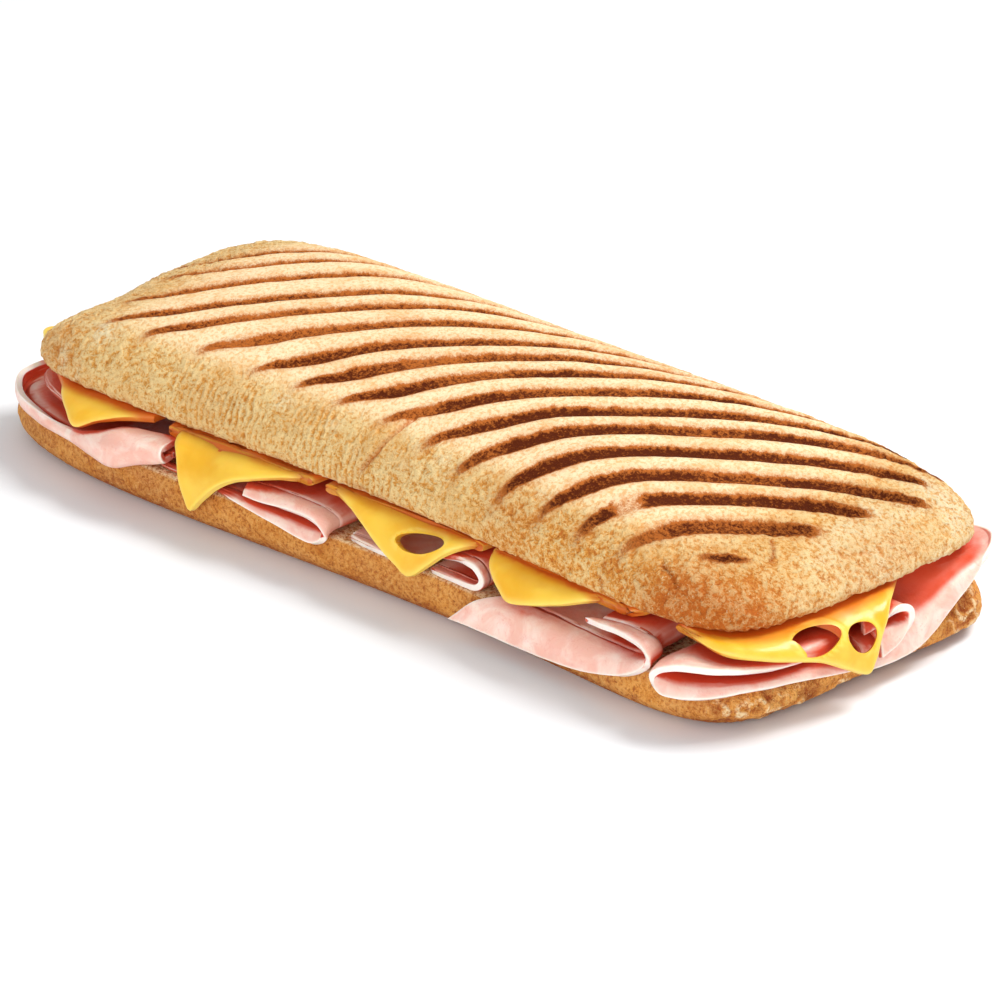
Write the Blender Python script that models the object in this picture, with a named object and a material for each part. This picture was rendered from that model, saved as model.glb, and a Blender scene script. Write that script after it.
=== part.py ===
"""A ham and cheese panini: a pressed ciabatta loaf with ham slices and melted cheese between its halves.

The loaf lies along X and rests on the floor. The origin is at the middle of its flat underside.
The near long side faces -Y, and the right end faces +X. Sizes are in millimetres, and MM turns
them into metres when a mesh is made.
"""
import math

import bmesh
import bpy
import numpy as np

MM = 0.001

# The two halves of the loaf
BOTTOM_HALF_LENGTH = 120.0
BOTTOM_HALF_WIDTH = 45.2
BOTTOM_SQUARENESS = 6.3
BOTTOM_NEAR_BULGE = (-3.64, 5.05, 8.0)
BOTTOM_FAR_BULGE = (0.0, 0.0, 0.0)
BOTTOM_END_SKEW = 5.2
TOP_HALF_LENGTH = 115.2
TOP_HALF_WIDTH = 41.7
TOP_SQUARENESS = 7.0
TOP_NEAR_BULGE = (0.70, 6.15, 0.36)
TOP_FAR_BULGE = (-1.19, 0.66, 0.20)
TOP_END_SKEW = 4.7
TOP_SHIFT = (3.8, 0.3)
TOP_DENT = 3.2
TOP_DENT_ANGLE = math.radians(-170)
TOP_DENT_SPREAD = math.radians(8)
CUT_LOW = 10.8
CUT_HIGH = 22.2
RIM_HEIGHT = 24.0
CROWN_HEIGHT = 44.0
CROWN_POWER = 2.2
BOTTOM_RING_POINTS = 64
TOP_RING_POINTS = 60
WAVE_SHARE = 0.012

# The marks of the grill's ribs, pressed slantwise across the crown: how far each lies from the middle
MARK_ANGLE = math.radians(44.2)
MARK_PLACES = (-88.9, -79.5, -70.2, -61.8, -52.1, -42.5, -34, -24.3, -14.4, -5.3, 3.7, 15, 26.7, 37,
               51.1, 64.4, 75.5)
MARK_BOW = 3.7
MARK_BOW_AT = 30.0
MARK_WIDTH = 5.0
MARK_DEPTH = 1.3
MARK_STEP = 13.0
MARK_CROWDING = 0.7
MARK_BLUNTNESS = 8
MARK_NEAR_SHARE = (0.79, 0.09, 75.0)
MARK_FAR_SHARE = 0.91

# Splits in the crust: points of plan X or run and of height, then the split's width and depth
TOP_SPLITS = (((3.6, 26.5), (3.2, 30.0), (5.6, 34.0), (9.6, 37.6)), ((66.0, 25.5), (66.8, 28.5), (66.0, 32.0)))
BOTTOM_SPLITS = (((109.0, 5.6), (114.0, 4.2), (119.0, 5.2), (125.0, 4.0)),
                 ((176.0, 6.4), (181.0, 7.2), (187.0, 6.0)))
SPLIT_WIDTH = 1.6
SPLIT_DEPTH = 0.9

# The slices
HAM_THICK = 1.7
CHEESE_THICK = 2.0
HAM_LOW = 12.2
CHEESE_LAYER = 20.8
LIP = -2.2
CHEESE_LIP = -5.0
INSIDE = -10.0
LEFT_CENTRE = (-60.0, 6.0)
HAM_SLANT = ((-105.0, 25.0), (-56.0, -14.0))
CHEESE_SLANT = ((-97.0, 17.0), (-61.0, -14.0))
RIGHT_CENTRE = (104.0, 0.0)
CHEESE_CENTRE = (92.0, 0.0)
BROW_OUT = 0.72
BROW_DOWN = 0.26
BEND_SHARE = 0.7
BEND_THINNEST = 0.55

# Holes in the cheese: run round the edge, height, reach, half width, half height, lean and turn
END_HOLES = ((132.4, 18.6, 2.0, 5.6, 3.2, math.radians(14), math.radians(42)),
             (144.2, 16.4, 4.4, 3.2, 3.4, 0.0, math.radians(42)))
DRAPE_HOLES = ((25.6, 18.4, 0.4, 6.6, 2.3, math.radians(8), math.radians(12)),)
HOLE_POINTS = 14
HOLE_REACH = 5.0
HOLE_TIP = math.radians(25)


def signed_power(value, power):
    """A power that keeps the value's sign."""
    return math.copysign(abs(value) ** power, value)


def loaf_outline(half_length, half_width, squareness, near_bulge, far_bulge, end_skew, count):
    """Evenly spaced plan points of a loaf's outline, from the middle of its near side round to the right."""
    fine = []
    for step in range(6000):
        turn = math.tau * step / 6000 - math.pi / 2
        along = signed_power(math.cos(turn), 2 / squareness)
        across = signed_power(math.sin(turn), 2 / squareness)
        bulge = near_bulge if across < 0 else far_bulge
        width = half_width + sum(size * along ** (power + 1) for power, size in enumerate(bulge))
        skew = end_skew * across * max(along, 0.0)
        fine.append((half_length * along + skew, across * width))
    fine = np.array(fine + fine[:1])
    steps = np.hypot(*np.diff(fine, axis=0).T)
    run = np.concatenate([[0.0], np.cumsum(steps)])
    wanted = np.linspace(0.0, run[-1], count, endpoint=False)
    return np.column_stack([np.interp(wanted, run, fine[:, 0]), np.interp(wanted, run, fine[:, 1])]), run[-1]


def bottom_outline(count):
    return loaf_outline(BOTTOM_HALF_LENGTH, BOTTOM_HALF_WIDTH, BOTTOM_SQUARENESS, BOTTOM_NEAR_BULGE,
                        BOTTOM_FAR_BULGE, BOTTOM_END_SKEW, count)


def top_outline(count):
    """The top half's outline, dented a little at its left end behind the near corner."""
    plan, run = loaf_outline(TOP_HALF_LENGTH, TOP_HALF_WIDTH, TOP_SQUARENESS, TOP_NEAR_BULGE,
                             TOP_FAR_BULGE, TOP_END_SKEW, count)
    angle = np.arctan2(plan[:, 1], plan[:, 0])
    dent = TOP_DENT * np.exp(-((angle - TOP_DENT_ANGLE) / TOP_DENT_SPREAD) ** 2)
    return plan * (1 - dent / np.hypot(plan[:, 0], plan[:, 1]))[:, None], run


EDGE_PLAN, EDGE_RUN = bottom_outline(2400)
EDGE_WAY = np.roll(EDGE_PLAN, -1, axis=0) - np.roll(EDGE_PLAN, 1, axis=0)
EDGE_OUT = np.column_stack([EDGE_WAY[:, 1], -EDGE_WAY[:, 0]])
EDGE_OUT /= np.linalg.norm(EDGE_OUT, axis=1)[:, None]


def edge_point(run, out):
    """Plan point so far outside the bottom half's edge, at a run round it from the middle of its near side."""
    place = (run / EDGE_RUN) % 1.0 * len(EDGE_PLAN)
    index = int(place) % len(EDGE_PLAN)
    return EDGE_PLAN[index] + out * EDGE_OUT[index]


def far_run(along):
    """Where round the edge the far side has the given X."""
    return EDGE_RUN / 2 - along


def outline_reaches():
    """The top outline's angles and distances from its own middle, in order of angle."""
    plan, _ = top_outline(1200)
    angles = np.arctan2(plan[:, 1], plan[:, 0])
    order = np.argsort(angles)
    angles, reaches = angles[order], np.hypot(plan[:, 0], plan[:, 1])[order]
    return (np.concatenate([[angles[-1] - math.tau], angles, [angles[0] + math.tau]]),
            np.concatenate([[reaches[-1]], reaches, [reaches[0]]]))


TOP_ANGLES, TOP_REACHES = outline_reaches()


def material(name, colour, roughness):
    shade = bpy.data.materials.new(name)
    shade.use_nodes = True
    shader = shade.node_tree.nodes["Principled BSDF"]
    shader.inputs["Base Color"].default_value = (*colour, 1.0)
    shader.inputs["Roughness"].default_value = roughness
    shader.inputs["Metallic"].default_value = 0.0
    return shade


def make_object(name, points, faces, shade, smooth_angle=40.0):
    mesh = bpy.data.meshes.new(name)
    mesh.from_pydata([tuple(float(value) * MM for value in point) for point in points], [], faces)
    work = bmesh.new()
    work.from_mesh(mesh)
    bmesh.ops.triangulate(work, faces=work.faces[:])
    bmesh.ops.recalc_face_normals(work, faces=work.faces[:])
    work.to_mesh(mesh)
    work.free()
    mesh.materials.append(shade)
    mesh.shade_smooth()
    mesh.set_sharp_from_angle(angle=math.radians(smooth_angle))
    piece = bpy.data.objects.new(name, mesh)
    bpy.context.scene.collection.objects.link(piece)
    return piece


def closed_rings(rings, low_centre, high_centre):
    """Points and faces of a closed body made of rings, with a point in the middle of its first and last."""
    count = len(rings[0])
    points = [tuple(point) for ring in rings for point in ring]
    faces = []
    for level in range(len(rings) - 1):
        for step in range(count):
            other = (step + 1) % count
            low, high = level * count, (level + 1) * count
            faces.append((low + step, low + other, high + other, high + step))
    points.append(low_centre)
    points.append(high_centre)
    last = (len(rings) - 1) * count
    for step in range(count):
        other = (step + 1) % count
        faces.append((other, step, len(points) - 2))
        faces.append((last + step, last + other, len(points) - 1))
    return points, faces


def crust_wave(x, y, z):
    """The crust's uneven hand, as a share from -1 to 1."""
    slow = math.sin(0.061 * x + 0.9) * math.cos(0.083 * y + 0.4)
    middle = math.sin(0.137 * x - 0.11 * y + 0.23 * z)
    quick = math.sin(0.29 * x + 0.31 * y + 1.7) * math.sin(0.41 * z + 0.17 * x)
    return 0.45 * slow + 0.3 * middle + 0.25 * quick


def loaf_rings(plan, levels, shift=(0.0, 0.0)):
    """Rings of a loaf half: each level is its share of the outline, its height and its share of the waves."""
    rings = []
    for share, height, loose in levels:
        ring = []
        for x, y in plan:
            size = share + WAVE_SHARE * loose * crust_wave(x, y, height)
            ring.append((shift[0] + x * size, shift[1] + y * size, height))
        rings.append(ring)
    return rings


def bread_bottom():
    plan, _ = bottom_outline(BOTTOM_RING_POINTS)
    levels = [(0.45, 0.0, 0.0), (0.90, 0.0, 0.0), (0.955, 0.7, 0.3), (0.985, 2.4, 0.6), (1.0, 5.0, 0.8),
              (0.996, 8.0, 0.6), (0.982, 10.2, 0.3), (0.955, CUT_LOW, 0.2), (0.5, CUT_LOW - 0.2, 0.0)]
    rings = loaf_rings(plan, levels)
    points, faces = closed_rings(rings, (0.0, 0.0, 0.0), (0.0, 0.0, CUT_LOW - 0.2))
    shade = material("bottom_crust", (0.56, 0.30, 0.08), 0.7)
    bottom = make_object("bread_bottom", points, faces, shade)
    cut(bottom, bottom_splits(shade))
    return bottom


def crown_height(share):
    """Height of the crown where the loaf's outline, shrunk to this share, runs over it."""
    return RIM_HEIGHT + (CROWN_HEIGHT - RIM_HEIGHT) * (1 - min(share, 1.0) ** CROWN_POWER) ** (1 / CROWN_POWER)


def top_share(x, y):
    """How far out on the crown a plan point lies: 0 in the middle, 1 on the outline."""
    distance = math.hypot(x - TOP_SHIFT[0], y - TOP_SHIFT[1])
    angle = math.atan2(y - TOP_SHIFT[1], x - TOP_SHIFT[0])
    return distance / float(np.interp(angle, TOP_ANGLES, TOP_REACHES))


def crown_point(x, y):
    return np.array([x, y, crown_height(top_share(x, y))])


def mark_place(place, along):
    """Plan point of a mark, so far along it. The marks bow slightly over the crown's shoulders."""
    x = along * math.cos(MARK_ANGLE) - place * math.sin(MARK_ANGLE)
    y = along * math.sin(MARK_ANGLE) + place * math.cos(MARK_ANGLE)
    bow = MARK_BOW * (y / MARK_BOW_AT) ** 2
    return x + bow * math.sin(MARK_ANGLE), y - bow * math.cos(MARK_ANGLE)


def mark_run(place):
    """Where a mark starts and ends along its line: the ribs press only the higher part of the crown."""
    middle, rise, reach = MARK_NEAR_SHARE
    near_share = middle + rise * min(abs(place) / reach, 1.0) ** 1.5
    inside = []
    for along in np.arange(-150.0, 150.0, 0.5):
        x, y = mark_place(place, along)
        limit = near_share if y < 0 else MARK_FAR_SHARE
        if top_share(x, y) < limit:
            inside.append(along)
    return (inside[0], inside[-1]) if inside else None


def furrow(spots, outward, sizes, width, depth):
    """Points and faces of a wedge along a path, pressed in against the outward directions."""
    spots = np.array(spots)
    points = []
    for spot, ahead, out, size in zip(spots, np.gradient(spots, axis=0), outward, sizes):
        aside = np.cross(out, ahead)
        aside /= np.linalg.norm(aside)
        up = np.cross(ahead, aside)
        up /= np.linalg.norm(up)
        half, deep = 0.5 * width * size, depth * size
        slope = 0.72 * half / deep
        for side, rise in ((-1, 1.5), (1, 1.5), (1, -deep), (-1, -deep)):
            points.append(spot + side * (half + slope * rise) * aside + rise * up)
    faces = [(3, 2, 1, 0)]
    for step in range(len(spots) - 1):
        low, high = 4 * step, 4 * step + 4
        for corner in range(4):
            other = (corner + 1) % 4
            faces.append((low + corner, low + other, high + other, high + corner))
    last = 4 * (len(spots) - 1)
    faces.append((last, last + 1, last + 2, last + 3))
    return points, faces


def mark_cutter(place):
    """Points and faces of the rib that presses one mark, tapered to both ends."""
    run = mark_run(place)
    if run is None:
        return None
    start, stop = run
    count = max(3, round((stop - start) / MARK_STEP)) + 1
    spots, sizes = [], []
    for step in range(count):
        share = step / (count - 1)
        share += (0.5 - 0.5 * math.cos(math.pi * share) - share) * MARK_CROWDING
        spots.append(crown_point(*mark_place(place, start + (stop - start) * share)))
        sizes.append(max(0.25, (1 - abs(2 * share - 1) ** MARK_BLUNTNESS) ** 0.6))
    return furrow(spots, [(0.0, 0.0, 1.0)] * count, sizes, MARK_WIDTH, MARK_DEPTH)


def make_cutter(name, points, faces, shade):
    cutter = make_object(name, points, faces, shade)
    cutter.hide_render = True
    cutter.display_type = "WIRE"
    return cutter


def joined_cutter(name, wedges, shade):
    points, faces = [], []
    for corners, sides in wedges:
        faces += [tuple(index + len(points) for index in face) for face in sides]
        points += corners
    return make_cutter(name, points, faces, shade)


def grill_ribs(shade):
    wedges = [mark_cutter(place) for place in MARK_PLACES]
    return joined_cutter("grill_ribs", [wedge for wedge in wedges if wedge], shade)


def near_wall_point(x, height):
    """Point of the top half's near wall with this X and height."""
    low, high = -60.0, TOP_SHIFT[1]
    for _ in range(40):
        middle = 0.5 * (low + high)
        if crown_height(top_share(x, middle)) > height:
            high = middle
        else:
            low = middle
    return (x, low, height)


def split_sizes(count):
    return [max(0.25, math.sin(math.pi * (step + 0.5) / count)) for step in range(count)]


def top_splits(shade):
    wedges = []
    for split in TOP_SPLITS:
        spots = [near_wall_point(x, height) for x, height in split]
        outward = [(0.0, -1.0, 0.35)] * len(spots)
        wedges.append(furrow(spots, outward, split_sizes(len(spots)), SPLIT_WIDTH, SPLIT_DEPTH))
    return joined_cutter("top_splits", wedges, shade)


def bottom_splits(shade):
    wedges = []
    for split in BOTTOM_SPLITS:
        spots = [(*edge_point(run, 0.0), height) for run, height in split]
        outward = [(*(edge_point(run, 1.0) - edge_point(run, 0.0)), 0.0) for run, _ in split]
        wedges.append(furrow(spots, outward, split_sizes(len(spots)), SPLIT_WIDTH, SPLIT_DEPTH))
    return joined_cutter("bottom_splits", wedges, shade)


def cut(piece, cutter):
    knife = piece.modifiers.new(cutter.name, "BOOLEAN")
    knife.operation = "DIFFERENCE"
    knife.solver = "EXACT"
    knife.object = cutter


def bread_top():
    plan, _ = top_outline(TOP_RING_POINTS)
    levels = [(0.5, CUT_HIGH + 0.2, 0.0), (0.955, CUT_HIGH, 0.2), (0.988, 22.5, 0.4), (1.0, RIM_HEIGHT, 0.8)]
    for share in (0.993, 0.972, 0.94, 0.89, 0.82, 0.71, 0.54, 0.3):
        levels.append((share, crown_height(share), 0.6 * share))
    rings = loaf_rings(plan, levels, TOP_SHIFT)
    points, faces = closed_rings(rings, (*TOP_SHIFT, CUT_HIGH + 0.2), (*TOP_SHIFT, CROWN_HEIGHT))
    shade = material("top_crust", (0.72, 0.46, 0.20), 0.75)
    top = make_object("bread_top", points, faces, shade)
    cut(top, grill_ribs(shade))
    cut(top, top_splits(shade))
    return top


# Slices
def smooth_through(points, parts):
    """A curve through points of any dimension, with this many parts between each two."""
    points = np.array(points, dtype=float)
    ends = np.concatenate([[2 * points[0] - points[1]], points, [2 * points[-1] - points[-2]]])
    curve = []
    for index in range(1, len(ends) - 2):
        before, start, stop, after = ends[index - 1:index + 3]
        for part in range(parts):
            t = part / parts
            curve.append(0.5 * (2 * start + (stop - before) * t
                                + (2 * before - 5 * start + 4 * stop - after) * t ** 2
                                + (3 * start - before - 3 * stop + after) * t ** 3))
    curve.append(points[-1])
    return np.array(curve)


def evened(path, count):
    """Evenly spaced points along a path of straight parts."""
    path = np.array(path)
    run = np.concatenate([[0.0], np.cumsum(np.linalg.norm(np.diff(path, axis=0), axis=1))])
    wanted = np.linspace(0.0, run[-1], count)
    return [tuple(np.interp(at, run, column) for column in path.T) for at in wanted]


def unit(vectors):
    return vectors / np.maximum(np.linalg.norm(vectors, axis=-1), 1e-9)[..., None]


def bend_radius(grid, axis):
    """The radius of the circle through each point of a grid and its two neighbours along one axis."""
    grid = np.moveaxis(grid, axis, 0)
    first, second = grid[1:-1] - grid[:-2], grid[2:] - grid[1:-1]
    turn = np.linalg.norm(np.cross(first, second), axis=2)
    lengths = [np.linalg.norm(side, axis=2) for side in (first, second, first + second)]
    radius = np.full(grid.shape[:2], 100.0)
    radius[1:-1] = lengths[0] * lengths[1] * lengths[2] / np.maximum(2 * turn, 1e-6)
    radius[0], radius[-1] = radius[1], radius[-2]
    return np.moveaxis(radius, 0, axis)


def sheet(name, rails, thick, shade, parts_along=2, parts_across=1):
    """A slice as a closed body: a smooth surface through rails of equal count, thickened both ways.

    Where the slice bends sharply it is pressed thinner, so that its two faces stay apart.
    """
    rows = [smooth_through(rail, parts_along) for rail in rails]
    grid = smooth_through(np.array(rows), parts_across)
    across = unit(np.gradient(grid, axis=0))
    along = unit(np.gradient(grid, axis=1))
    normal = unit(np.cross(across, along))
    tightest = np.minimum(bend_radius(grid, 0), bend_radius(grid, 1))
    half = np.clip(BEND_SHARE * tightest, 0.5 * BEND_THINNEST * thick, 0.5 * thick)[:, :, None]
    height, width = grid.shape[:2]
    upper = (grid + normal * half).reshape(-1, 3)
    lower = (grid - normal * half).reshape(-1, 3)
    points = [tuple(point) for point in np.vstack([upper, lower])]
    side = height * width
    faces = []
    for row in range(height - 1):
        for column in range(width - 1):
            corner = row * width + column
            square = (corner, corner + 1, corner + width + 1, corner + width)
            faces.append(square)
            faces.append(tuple(side + index for index in reversed(square)))
    rim = [column for column in range(width)]
    rim += [row * width + width - 1 for row in range(1, height)]
    rim += [(height - 1) * width + column for column in range(width - 2, -1, -1)]
    rim += [row * width for row in range(height - 2, 0, -1)]
    for index, corner in enumerate(rim):
        other = rim[(index + 1) % len(rim)]
        faces.append((other, corner, side + corner, side + other))
    return make_object(name, points, faces, shade)


def edge_rail(rail, far=False):
    """World points of a rail of (run, height, out) round the edge, or of (x, height, out) on the far side."""
    return [(*edge_point(far_run(run) if far else run, out), height) for run, height, out in rail]


def level_rail(rail, out, heights):
    """The rail at one distance from the edge and at the given heights."""
    return [(run, height, out) for (run, _, _), height in zip(rail, heights)]


def narrowed(rail, left, right):
    """The rail with its runs brought between left and right."""
    runs = [run for run, _, _ in rail]
    scale = (right - left) / (max(runs) - min(runs))
    return [(left + (run - min(runs)) * scale, height, out) for run, height, out in rail]


def between(inner, outer):
    """World points between a lip and a hanging edge, where the slice bends over."""
    inner, outer = np.array(inner), np.array(outer)
    return inner + (outer - inner) * (BROW_OUT, BROW_OUT, BROW_DOWN)


def brow(inner, outer):
    """A rail between a slice's lip and its hanging edge, where the slice bends over."""
    return [(0.5 * (a[0] + b[0]), a[1] + (b[1] - a[1]) * BROW_DOWN, a[2] + (b[2] - a[2]) * BROW_OUT)
            for a, b in zip(inner, outer)]


def mirrored(rail, droop, push=0.0):
    """A hanging edge for the far side: the near one turned round, with its drop and its reach changed."""
    left = min(run for run, _, _ in rail)
    right = max(run for run, _, _ in rail)
    top = max(height for _, height, _ in rail)
    return [(left + right - run, top - (top - height) * droop, out + push * (top - height) * 0.1)
            for run, height, out in rail[::-1]]


def tucked(rail, heights):
    """Where a slice's edge passes between the halves: at the lip, or further in where the edge itself is."""
    return [(run, height, min(LIP, out - 1.0)) for (run, _, out), height in zip(rail, heights)]


def through_slice(name, near, far, heights, shade, span=None, lips=None, inside=INSIDE):
    """A ham slice that runs through the loaf, from its hanging edge on the near side to the far one.

    The heights are those of the slice between the loaf's halves, one for each point of its edge.
    """
    runs = [run for run, _, _ in near]
    span = span or (min(runs), max(runs))
    near_lip, far_lip = tucked(near, heights), tucked(far, heights)
    near_inside = narrowed(level_rail(near, inside, heights), *span)
    far_inside = narrowed(level_rail(far, inside, heights), *span)
    if lips:
        near_lip, far_lip = narrowed(near_lip, *lips), narrowed(far_lip, *lips)
    rails = [edge_rail(near), edge_rail(brow(near_lip, near)), edge_rail(near_lip), edge_rail(near_inside),
             edge_rail(far_inside, True), edge_rail(far_lip, True), edge_rail(brow(far_lip, far), True),
             edge_rail(far, True)]
    return sheet(name, rails, HAM_THICK, shade)


def fanned(rail, out, span=None):
    """A level rail behind a cheese slice's edge, its runs spread by the length of that edge."""
    spots = np.array(rail, dtype=float)
    steps = np.linalg.norm(np.diff(spots, axis=0), axis=1)
    shares = np.concatenate([[0.0], np.cumsum(steps)]) / steps.sum()
    left, right = span or (rail[0][0], rail[-1][0])
    return [(left + (right - left) * share, CHEESE_LAYER, min(out, reach - 1.0))
            for share, (_, _, reach) in zip(shares, rail)]


def cheese_through(name, near, far, span, shade, inside=INSIDE):
    """A cheese slice that runs through the loaf and melts over both of its sides."""
    near_lip, far_lip = fanned(near, CHEESE_LIP), fanned(far, CHEESE_LIP)
    far_span = (far[0][0], far[-1][0]) if span is None else span
    rails = [edge_rail(near), edge_rail(brow(near_lip, near)), edge_rail(near_lip),
             edge_rail(fanned(near, inside, span)), edge_rail(fanned(far, inside, far_span), True),
             edge_rail(far_lip, True), edge_rail(brow(far_lip, far), True), edge_rail(far, True)]
    return sheet(name, rails, CHEESE_THICK, shade)


def toward(points, centre, share, heights):
    """Points drawn in towards a plan centre to a share of their distance, at the given heights."""
    return [(centre[0] + (x - centre[0]) * share, centre[1] + (y - centre[1]) * share, height)
            for (x, y, _), height in zip(points, heights)]


def slant(start, stop, heights):
    """Evenly spaced points on a straight line in plan, at the given heights."""
    return list(zip(np.linspace(start[0], stop[0], len(heights)), np.linspace(start[1], stop[1], len(heights)),
                    heights))


def corner_slice(name, rail, lip, centre, thick, shade):
    """A slice that hangs out round the right end, its inner part drawn in towards a centre."""
    heights = [height for _, height, _ in lip]
    edge = edge_rail(rail)
    inner = edge_rail(lip)
    rails = [edge, edge_rail(brow(lip, rail)), inner, toward(inner, centre, 0.72, heights),
             toward(inner, centre, 0.4, heights)]
    return sheet(name, rails, thick, shade)


def ham_left(shade):
    """The slice round the near left corner: its edge stands up at the corner and folds over further right.

    Each fold is a run round the edge, the fold's reach, low and top height, how far its top leans back,
    and the slice's height between the loaf's halves.
    """
    folds = [(-53, 1.8, 15.4, 18.6, 6.0, 15.6), (-60, 3.6, 13.4, 18.6, 6.5, 14.6),
             (-67.5, 4.6, 10.6, 18.0, 6.0, 13.0), (-74, 4.0, 10.8, 15.8, 3.5, 12.2),
             (-83, 2.4, 11.2, 13.9, 1.2, 12.2), (-96, 1.6, 11.0, 14.2, 0.4, 12.2), (-107, 1.0, 11.4, 15.0, 0.2, 12.2),
             (-117, -0.6, 11.8, 15.4, 0.4, 12.2), (-126, -3.2, 12.1, 15.2, 0.4, 12.2),
             (-140, -6.0, 12.2, 14.6, 0.4, 12.2), (-165, -5.0, 12.2, 14.6, 0.4, 12.2)]
    folds.reverse()
    outer = [[] for _ in range(6)]
    for run, reach, low, top, back, inner in folds:
        tall = top - low
        bend = [(reach - back, top), (reach, top - min(0.5 * tall, 0.9)), (reach, low + 0.35 * tall),
                (reach - 1.0, low)]
        path = evened(bend, 4) + [(reach - 3.8, inner - 0.2), (reach - 7.0, inner)]
        for rail, (out, height) in zip(outer, path):
            rail.append((*edge_point(run, out), height))
    inners = [inner for _, _, _, _, _, inner in folds]
    far_x = np.linspace(-108, -54, len(folds))
    far_lip = [(*edge_point(far_run(x), LIP), inner) for x, inner in zip(far_x, inners)]
    far_edge = [(*edge_point(far_run(x), 0.4), inner - 0.3) for x, inner in zip(far_x, inners)]
    rails = outer + [slant(*HAM_SLANT, inners), far_lip, far_edge]
    return sheet("ham_left", rails, HAM_THICK, shade)


def ham_slices(shade):
    ham_left(shade)
    under = [(-119, 16.5, -8.6), (-112, 16.4, -6.4), (-104, 16.4, -5.0), (-96, 16.3, -4.0), (-88, 16.2, -3.4),
             (-80, 16.2, -3.4)]
    through_slice("ham_under", under, mirrored(under, 1.0), [16.2] * len(under), shade, span=(-112, -80),
                  inside=-16.0)
    loop = [(-57, 12.9, -1.8), (-47, 12.4, -1.2), (-31, 11.0, 0.8), (-17, 9.8, 2.2), (-6.5, 9.1, 3.0),
            (-2.2, 11.6, 3.2), (-5.5, 14.6, 2.8), (-13, 14.9, 2.4), (-22, 13.9, 1.8), (-28.5, 13.6, 1.0)]
    far_loop = [(0.86 * run - 1, 10.2 + 0.95 * (height - 9.1), 0.7 * out) for run, height, out in loop]
    through_slice("ham_loop", loop, far_loop, [12.2, 12.2, 12.2, 12.2, 12.2, 13.8, 15.6, 16.2, 16.2, 16.0], shade,
                  span=(-50, -1.5))
    flat = [(2.5, 12.0, -0.4), (9, 11.9, 0.4), (16, 11.9, 0.4), (24.5, 12.1, -0.2)]
    through_slice("ham_flat", flat, mirrored(flat, 1.0), [HAM_LOW] * len(flat), shade)
    curl = [(27, 12.0, 0.0), (34, 12.0, 0.2), (40.6, 12.4, 0.3), (42.8, 14.9, 0.4), (40.4, 17.4, 0.4),
            (36.0, 17.2, 0.2), (31.6, 16.2, 0.0)]
    far_curl = [(run + 1.5, height - 0.4, out) for run, height, out in curl]
    through_slice("ham_curl", curl, far_curl, [12.2, 12.2, 12.4, 14.9, 17.4, 17.6, 17.2], shade)
    drape = [(35.8, 4.4, 3.3), (46, 4.6, 3.3), (56, 4.6, 3.2), (67, 5.0, 3.2), (78, 6.2, 3.0), (88.5, 9.0, 2.8),
             (94.4, 13.2, 2.4), (92.4, 16.9, 2.0), (85.5, 17.7, 1.4), (79, 17.0, 0.6), (74, 16.4, -0.2)]
    far_drape = [(run, height if height > HAM_LOW else HAM_LOW - (HAM_LOW - height) * 0.6, out - 0.6)
                 for run, height, out in drape]
    through_slice("ham_drape", drape, far_drape,
                  [12.2, 12.2, 12.2, 12.2, 12.2, 12.6, 15.0, 17.6, 18.0, 17.6, 17.0], shade, span=(49, 92),
                  lips=(48.6, 94.3))
    corner = [(144, 13.4, 0.8), (133, 13.9, 1.4), (121, 15.0, 2.2), (110.5, 16.3, 3.2), (102, 15.9, 4.0),
              (97.2, 12.6, 4.4), (99.8, 8.9, 4.4), (108, 9.7, 3.4), (119, 10.7, 1.8), (131, 9.3, 1.6),
              (143.5, 7.0, 1.6)]
    heights = [16.6, 16.6, 16.6, 16.6, 16.4, 14.4, 12.4, 12.2, 12.2, 12.2, 12.2]
    corner_slice("ham_corner", corner, level_rail(corner, LIP, heights), RIGHT_CENTRE, HAM_THICK, shade)
    end_loop = [(148, 13.7, 0.6), (152.6, 15.5, 2.2), (157.2, 18.2, 3.3), (160.0, 17.4, 4.0), (159.8, 13.7, 4.1),
                (156.4, 10.3, 3.9), (151, 8.3, 3.7)]
    heights = [17.8, 17.8, 17.8, 16.5, 14.9, 14.5, 14.5]
    corner_slice("ham_end_loop", end_loop, level_rail(end_loop, LIP, heights), RIGHT_CENTRE, HAM_THICK, shade)
    end = [(147, 5.6, 1.6), (155, 5.0, 1.8), (163.5, 5.4, 1.8), (169, 8.0, 1.8), (174.5, 12.0, 1.9),
           (180.5, 15.8, 1.9), (186, 19.4, 2.0), (190.5, 21.8, 2.2), (196, 21.6, 2.0), (206, 18.6, 1.0)]
    heights = [12.3, 12.3, 12.6, 14.6, 17.2, 18.8, 19.6, 19.8, 19.8, 18.8]
    corner_slice("ham_end", end, level_rail(end, LIP, heights), RIGHT_CENTRE, HAM_THICK, shade)


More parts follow.
